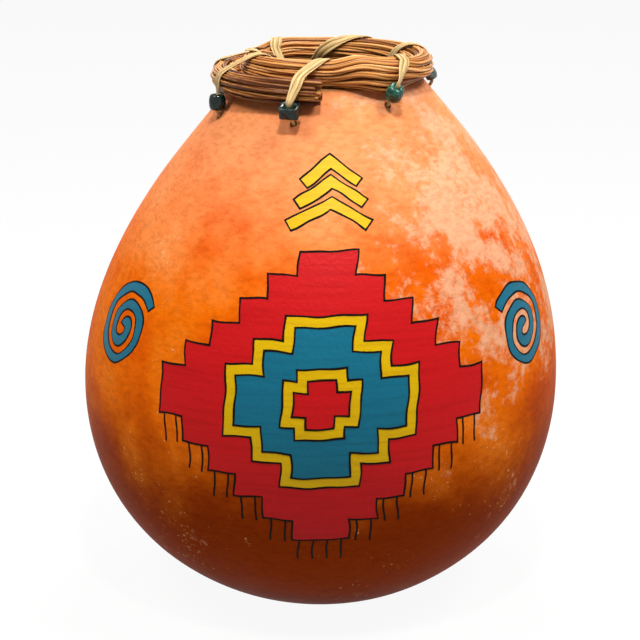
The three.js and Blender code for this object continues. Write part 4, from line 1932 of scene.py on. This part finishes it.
@dataclass(frozen=True)
class RaffiaLashing:
    """One raffia strip: out of a hole, up through a bead, over the coil and down inside to the next hole.

    Each crossing is the azimuths in degrees at which a stitch lands on the coil and leaves it. The strip turns flat
    over a range of widths that is counted in cord diameters. Each drift wave is its share of a leaf and its length.
    """

    form: GourdForm
    coil: StemCoil
    string: BeadString
    finish: DriedRaffia
    ribbon_width: float = 5.5 * MM
    ribbon_thickness: float = 0.7 * MM
    ribbon_gap: float = 0.4 * MM
    gather_share: float = 0.6
    cord_diameter: float = 1.6 * MM
    cord_lead: float = 1.2 * MM
    hole_below_bead: float = 1.8 * MM
    knot_diameter: float = 4.4 * MM
    knot_spacing: float = 7 * MM
    crossings: tuple[Span, ...] = (
        (10, 29),
        (64, 100),
        (122, 136),
        (166, 204),
        (204, 219),
        (254, 274),
        (313, 338),
    )
    slant_delay: float = 0.1
    drop_share: float = 0.75
    over_steps: int = 36
    fine_turn: float = math.radians(3)
    step: float = 0.9 * MM
    place_passes: int = 2
    facing_passes: int = 6
    size_passes: int = 4
    sides: int = 44
    flat_from: float = 1.8
    flat_over: float = 2.0
    squareness: float = 0.35
    leaves: float = 2.3
    fold: float = 0.24 * MM
    drift_waves: tuple[Span, ...] = ((0.5, 17 * MM), (0.2, 7 * MM))
    breadth_share: float = 0.08
    breadth_wave: float = 11 * MM

    @property
    def clearance(self) -> float:
        """The distance of the ribbon's middle off the coil."""
        return self.ribbon_gap + 0.5 * self.ribbon_thickness

    @property
    def knot(self) -> list[Span]:
        """Shares of the way along a knot, with the strip's size there."""
        cord, lump = self.cord_diameter, self.knot_diameter
        return [(0.0, cord), (0.33, lump), (0.67, lump), (1.0, cord)]

    def holes(self) -> list[Span]:
        """The azimuth and depth down the neck of each stitch hole."""
        return [(bead.azimuth, self.hole_down(bead)) for bead in self.string.beads]

    def flat_middle(self, bead: Bead) -> Array:
        """A bead's middle as radius and height."""
        x, y, z = bead.middle
        return np.array([math.hypot(x - float(self.form.lean(z)), y), z])

    @staticmethod
    def bore(bead: Bead) -> Array:
        """The way of a bead's bore as radius and height."""
        sideways = math.hypot(bead.bore[0], bead.bore[1])
        return np.array([math.copysign(sideways, bead.outward), bead.bore[2]])

    def hole_down(self, bead: Bead) -> float:
        """How far down the neck the hole under a bead lies.

        Args:
            bead: The bead.

        Returns:
            The distance from the cut edge.
        """
        lead = 0.5 * self.string.length(bead.kind) + self.hole_below_bead
        rise = lead * float(self.bore(bead) @ self.form.neck_down)
        return self.form.neck_depth(self.flat_middle(bead)) - rise

    def point(self, azimuth: float, flat: Array, facing: Array, width: float, thickness: float) -> StripPoint:
        """Turns a point of the strip in the plane of radius and height to its azimuth.

        Args:
            azimuth: Azimuth in degrees.
            flat: Radius and height.
            facing: The way its flat side faces.
            width: The strip's width.
            thickness: The strip's thickness.

        Returns:
            The point.
        """
        turn = math.radians(azimuth)
        return StripPoint(self.form.place(turn, flat[0], flat[1]), turned(facing, turn), width, thickness)

    def stitch(self, bead: Bead, following: Bead) -> list[StripPoint]:
        """The points of one stitch.

        Args:
            bead: The stitch's own bead.
            following: The next stitch's bead.

        Returns:
            Points from inside the bead's hole to just before the next hole.
        """
        form, cord, lead = self.form, self.cord_diameter, self.cord_lead
        start = math.degrees(bead.azimuth)
        middle = self.flat_middle(bead)
        axis = self.bore(bead)
        side = np.array([axis[1], -axis[0]])
        reach = 0.5 * self.string.length(bead.kind)
        down = self.hole_down(bead)
        top = middle + axis * (reach + lead)
        gathered = (self.gather_share * self.ribbon_width, self.gather_share * cord)
        drop = form.neck_point(self.hole_down(following) - self.hole_below_bead, -form.wall - 2.0 * lead)
        leave_at = self.crossings[bead.number - 1][1]
        ahead = (math.degrees(following.azimuth) - leave_at) % 360.0
        return [
            self.point(start, form.neck_point(down, -form.wall - lead), form.neck_down, cord, cord),
            self.point(start, form.neck_point(down, 0.5 * lead), form.neck_down, cord, cord),
            self.point(start, middle - axis * (reach + 0.5 * lead), side, cord, cord),
            self.point(start, middle, side, cord, cord),
            self.point(start, top, side, *gathered),
            *self.over_coil(bead, top, drop),
            self.point(leave_at + self.drop_share * ahead, drop, -form.neck_out, cord, cord),
        ]

    def touch(self, at: float, from_point: Array, angle: float, step: float) -> float:
        """Finds where a tight line from a point touches the coil.

        Args:
            at: Azimuth in degrees.
            from_point: The point, as radius and height.
            angle: The first angle to try.
            step: The step to the next one.

        Returns:
            The angle that the strip faces there.
        """
        while float((from_point - self.coil.hull(at, angle, self.clearance)) @ direction(angle)) > 0.0:
            angle += step
        return angle

    def over_coil(self, bead: Bead, top: Array, drop: Array) -> list[StripPoint]:
        """The strip's points over the coil, evenly spaced, moving on round the mouth after the outer flank.

        Args:
            bead: The stitch's own bead.
            top: Where the strip comes out of the bead, as radius and height.
            drop: Where it goes inside, as radius and height.

        Returns:
            Points from the outer flank to the mouth's inner edge.
        """
        land_at, leave_at = self.crossings[bead.number - 1]
        fine = self.fine_turn
        off = top - self.coil.laps(land_at)[0][1]
        inward = drop - self.form.inner_edge
        down = math.atan2(inward[1], inward[0]) % (2.0 * math.pi)
        landing = self.touch(land_at, top, math.atan2(off[1], off[0]), fine)
        leaving = self.touch(leave_at, drop, down, -fine)
        angles = np.linspace(landing, leaving, math.ceil((leaving - landing) / fine) + 1)
        along = runs_along(np.array([self.coil.hull(land_at, angle, self.clearance) for angle in angles]))
        points = []
        for share in np.linspace(0.0, 1.0, self.over_steps + 1):
            i = int(np.clip(np.searchsorted(along, share * along[-1]), 1, len(along) - 1))
            part = (share * along[-1] - along[i - 1]) / (along[i] - along[i - 1])
            moved = float(smooth((share - self.slant_delay) / (1.0 - self.slant_delay)))
            at = land_at + (leave_at - land_at) * moved
            near = self.coil.hull(at, angles[i - 1], self.clearance)
            far = self.coil.hull(at, angles[i], self.clearance)
            facing = direction(angles[i - 1] + (angles[i] - angles[i - 1]) * part)
            middle = near + (far - near) * part
            points.append(self.point(at, middle, facing, self.ribbon_width, self.ribbon_thickness))
        return points

    def route(self) -> list[StripPoint]:
        """Leads the strip round the mouth.

        Returns:
            Its points from the knot inside the first hole to the knot beside it.
        """
        form, beads = self.form, self.string.beads
        start = math.degrees(beads[0].azimuth)
        down = self.hole_down(beads[0])
        depth = form.wall + self.cord_lead + self.knot_diameter
        points = []
        for share, size in self.knot[:-1]:
            flat = form.neck_point(down, -depth + share * self.knot_diameter)
            points.append(self.point(start, flat, form.neck_down, size, size))
        for i, bead in enumerate(beads):
            points += self.stitch(bead, beads[(i + 1) % len(beads)])
        points.pop()
        beside = start - math.degrees(self.knot_spacing / form.rim_radius)
        for share, size in self.knot:
            flat = form.neck_point(down - self.hole_below_bead + self.knot_diameter * share, -depth)
            points.append(self.point(beside, flat, form.neck_out, size, size))
        return points

    def resample(self, points: list[StripPoint]) -> tuple[Array, Array, Array, Array]:
        """Samples a smooth strip at even steps.

        Args:
            points: The strip's points.

        Returns:
            Runs, places, facings, and rows of width and thickness.
        """
        places = np.array([p.place for p in points])
        runs = runs_along(places)
        even = np.linspace(0.0, runs[-1], math.ceil(runs[-1] / self.step) + 1)
        rows = (places, np.array([p.facing for p in points]), np.array([[p.width, p.thickness] for p in points]))
        passes = (self.place_passes, self.facing_passes, self.size_passes)
        places, facings, sizes = (
            relax(np.stack([np.interp(even, runs, column) for column in values.T], axis=1), count)
            for values, count in zip(rows, passes)
        )
        return even, places, unit(facings), sizes

    def build(self) -> None:
        """Makes the strip with its folds and fibres."""
        runs, places, facings, sizes = self.resample(self.route())
        tangents = unit(np.gradient(places, axis=0))
        across = unit(np.cross(facings, tangents))
        faces_out = np.cross(tangents, across)
        turn = once_round(self.sides)
        rings, creases = [], []
        for i, run in enumerate(runs):
            width, thickness = sizes[i]
            cords = width / self.cord_diameter
            flat = float(smooth((cords - self.flat_from) / self.flat_over))
            square = 1.0 - self.squareness * flat
            x = 0.5 * width * np.sign(np.cos(turn)) * np.abs(np.cos(turn)) ** square
            y = 0.5 * thickness * np.sign(np.sin(turn)) * np.abs(np.sin(turn)) ** square
            x *= 1.0 + self.breadth_share * flat * math.sin(run / self.breadth_wave + 1.0)
            drift = sum(share * math.sin(run / wave) for share, wave in self.drift_waves)
            ridge = np.abs(np.sin(math.pi * (self.leaves * x / self.ribbon_width + drift)))
            y += flat * self.fold * (2.0 * ridge - 1.0)
            # How close each vertex lies to a fold's valley, where the finish paints shade
            creases.append(flat * (1.0 - ridge) ** 2)
            rings.append(places[i] + x[:, None] * across[i] + y[:, None] * faces_out[i])
        vertices, faces = loft(rings)
        piece = mesh_object("raffia_strip", vertices, faces, self.finish.material())
        around = np.tile(0.5 * self.ribbon_width * np.cos(turn), len(runs))
        set_attribute(piece, "along", np.append(np.repeat(runs, self.sides), [0.0, runs[-1]]))
        set_attribute(piece, "around", np.append(around, [0.0, 0.0]))
        set_attribute(piece, "crease", np.append(np.concatenate(creases), [0.0, 0.0]))
        dress(piece, "raffia", VESSEL_BODY, "raffia_lashing")


# Studio


@dataclass(frozen=True)
class Lamp:
    """One soft square lamp: where it hangs, the point that it faces, the side of its square and its power."""

    name: str
    place: Place
    target: Place
    size: float
    watts: float

    def hang(self) -> None:
        """Hangs the lamp in the studio."""
        data = bpy.data.lights.new(self.name, "AREA")
        data.size = self.size
        data.energy = self.watts
        lamp = bpy.data.objects.new(self.name, data)
        lamp.location = self.place
        lamp.rotation_euler = (Vector(self.target) - Vector(self.place)).to_track_quat("-Z", "Y").to_euler()
        bpy.context.scene.collection.objects.link(lamp)


@dataclass(frozen=True)
class Studio:
    """White paper, soft lamps and a camera where the photograph was taken from."""

    camera_distance: float = 0.900
    camera_height: float = 0.4008
    camera_pitch: float = math.radians(16.45)
    lens_mm: float = 105.05
    sensor_mm: float = 36.0
    floor_reach: float = 6.0
    sky_light: float = 0.12
    lamps: tuple[Lamp, ...] = (
        Lamp("front_lamp", (0.05, -0.70, 1.40), (0.0, 0.0, 0.18), 0.12, 11.0),
        Lamp("left_lamp", (-0.72, -0.28, 1.40), (0.0, 0.0, 0.18), 0.4, 9.6),
        Lamp("right_lamp", (0.76, -0.28, 1.36), (0.0, 0.0, 0.18), 0.4, 12.4),
        Lamp("back_lamp", (0.10, 0.60, 1.45), (0.0, 0.0, 0.2), 0.4, 9.0),
    )

    def build(self) -> None:
        """Sets the floor, lamps, world and camera."""
        self.floor()
        for lamp in self.lamps:
            lamp.hang()
        self.sky()
        self.camera()
        bpy.context.scene.view_settings.view_transform = "Standard"

    def floor(self) -> None:
        """Rolls the paper out under the vessel."""
        reach = self.floor_reach
        mesh = bpy.data.meshes.new("studio_paper")
        corners = [(-reach, -reach, 0.0), (reach, -reach, 0.0), (reach, reach, 0.0), (-reach, reach, 0.0)]
        mesh.from_pydata(corners, [], [(0, 1, 2, 3)])
        mesh.materials.append(StudioPaper().material())
        paper = bpy.data.objects.new("studio_paper", mesh)
        bpy.context.scene.collection.objects.link(paper)

    def sky(self) -> None:
        """Lights the room evenly, and shows it white to the camera."""
        world = bpy.data.worlds.new("studio_room")
        world.use_nodes = True
        tree = world.node_tree
        tree.nodes.clear()
        seen = showing_rays(tree)
        level = add_node(tree, "MapRange", {"Value": seen, "To Min": self.sky_light, "To Max": 1.0})
        back = add_node(tree, "Background", {"Color": grey(1.0), "Strength": level})
        add_node(tree, "OutputWorld", {"Surface": back})
        bpy.context.scene.world = world

    def camera(self) -> None:
        """Stands the camera in front, a little over the mouth, looking down."""
        data = bpy.data.cameras.new("camera")
        data.lens = self.lens_mm
        data.sensor_width = self.sensor_mm
        camera = bpy.data.objects.new("camera", data)
        camera.location = (0.0, -self.camera_distance, self.camera_height)
        camera.rotation_euler = (0.5 * math.pi - self.camera_pitch, 0.0, 0.0)
        bpy.context.scene.collection.objects.link(camera)
        bpy.context.scene.camera = camera


def main() -> None:
    """Builds the vessel's pieces in order, then the studio."""
    logging.basicConfig(level=logging.INFO, format="%(name)s: %(message)s")
    form = GourdForm()
    coil = StemCoil(form, DriedStem())
    string = BeadString(form)
    lashing = RaffiaLashing(form, coil, string, DriedRaffia())
    GourdShell(form, DyedGourd()).build(lashing.holes())
    PaintedDesign(form).build()
    coil.build()
    lashing.build()
    string.build()
    Studio().build()


if __name__ == "__main__":
    main()
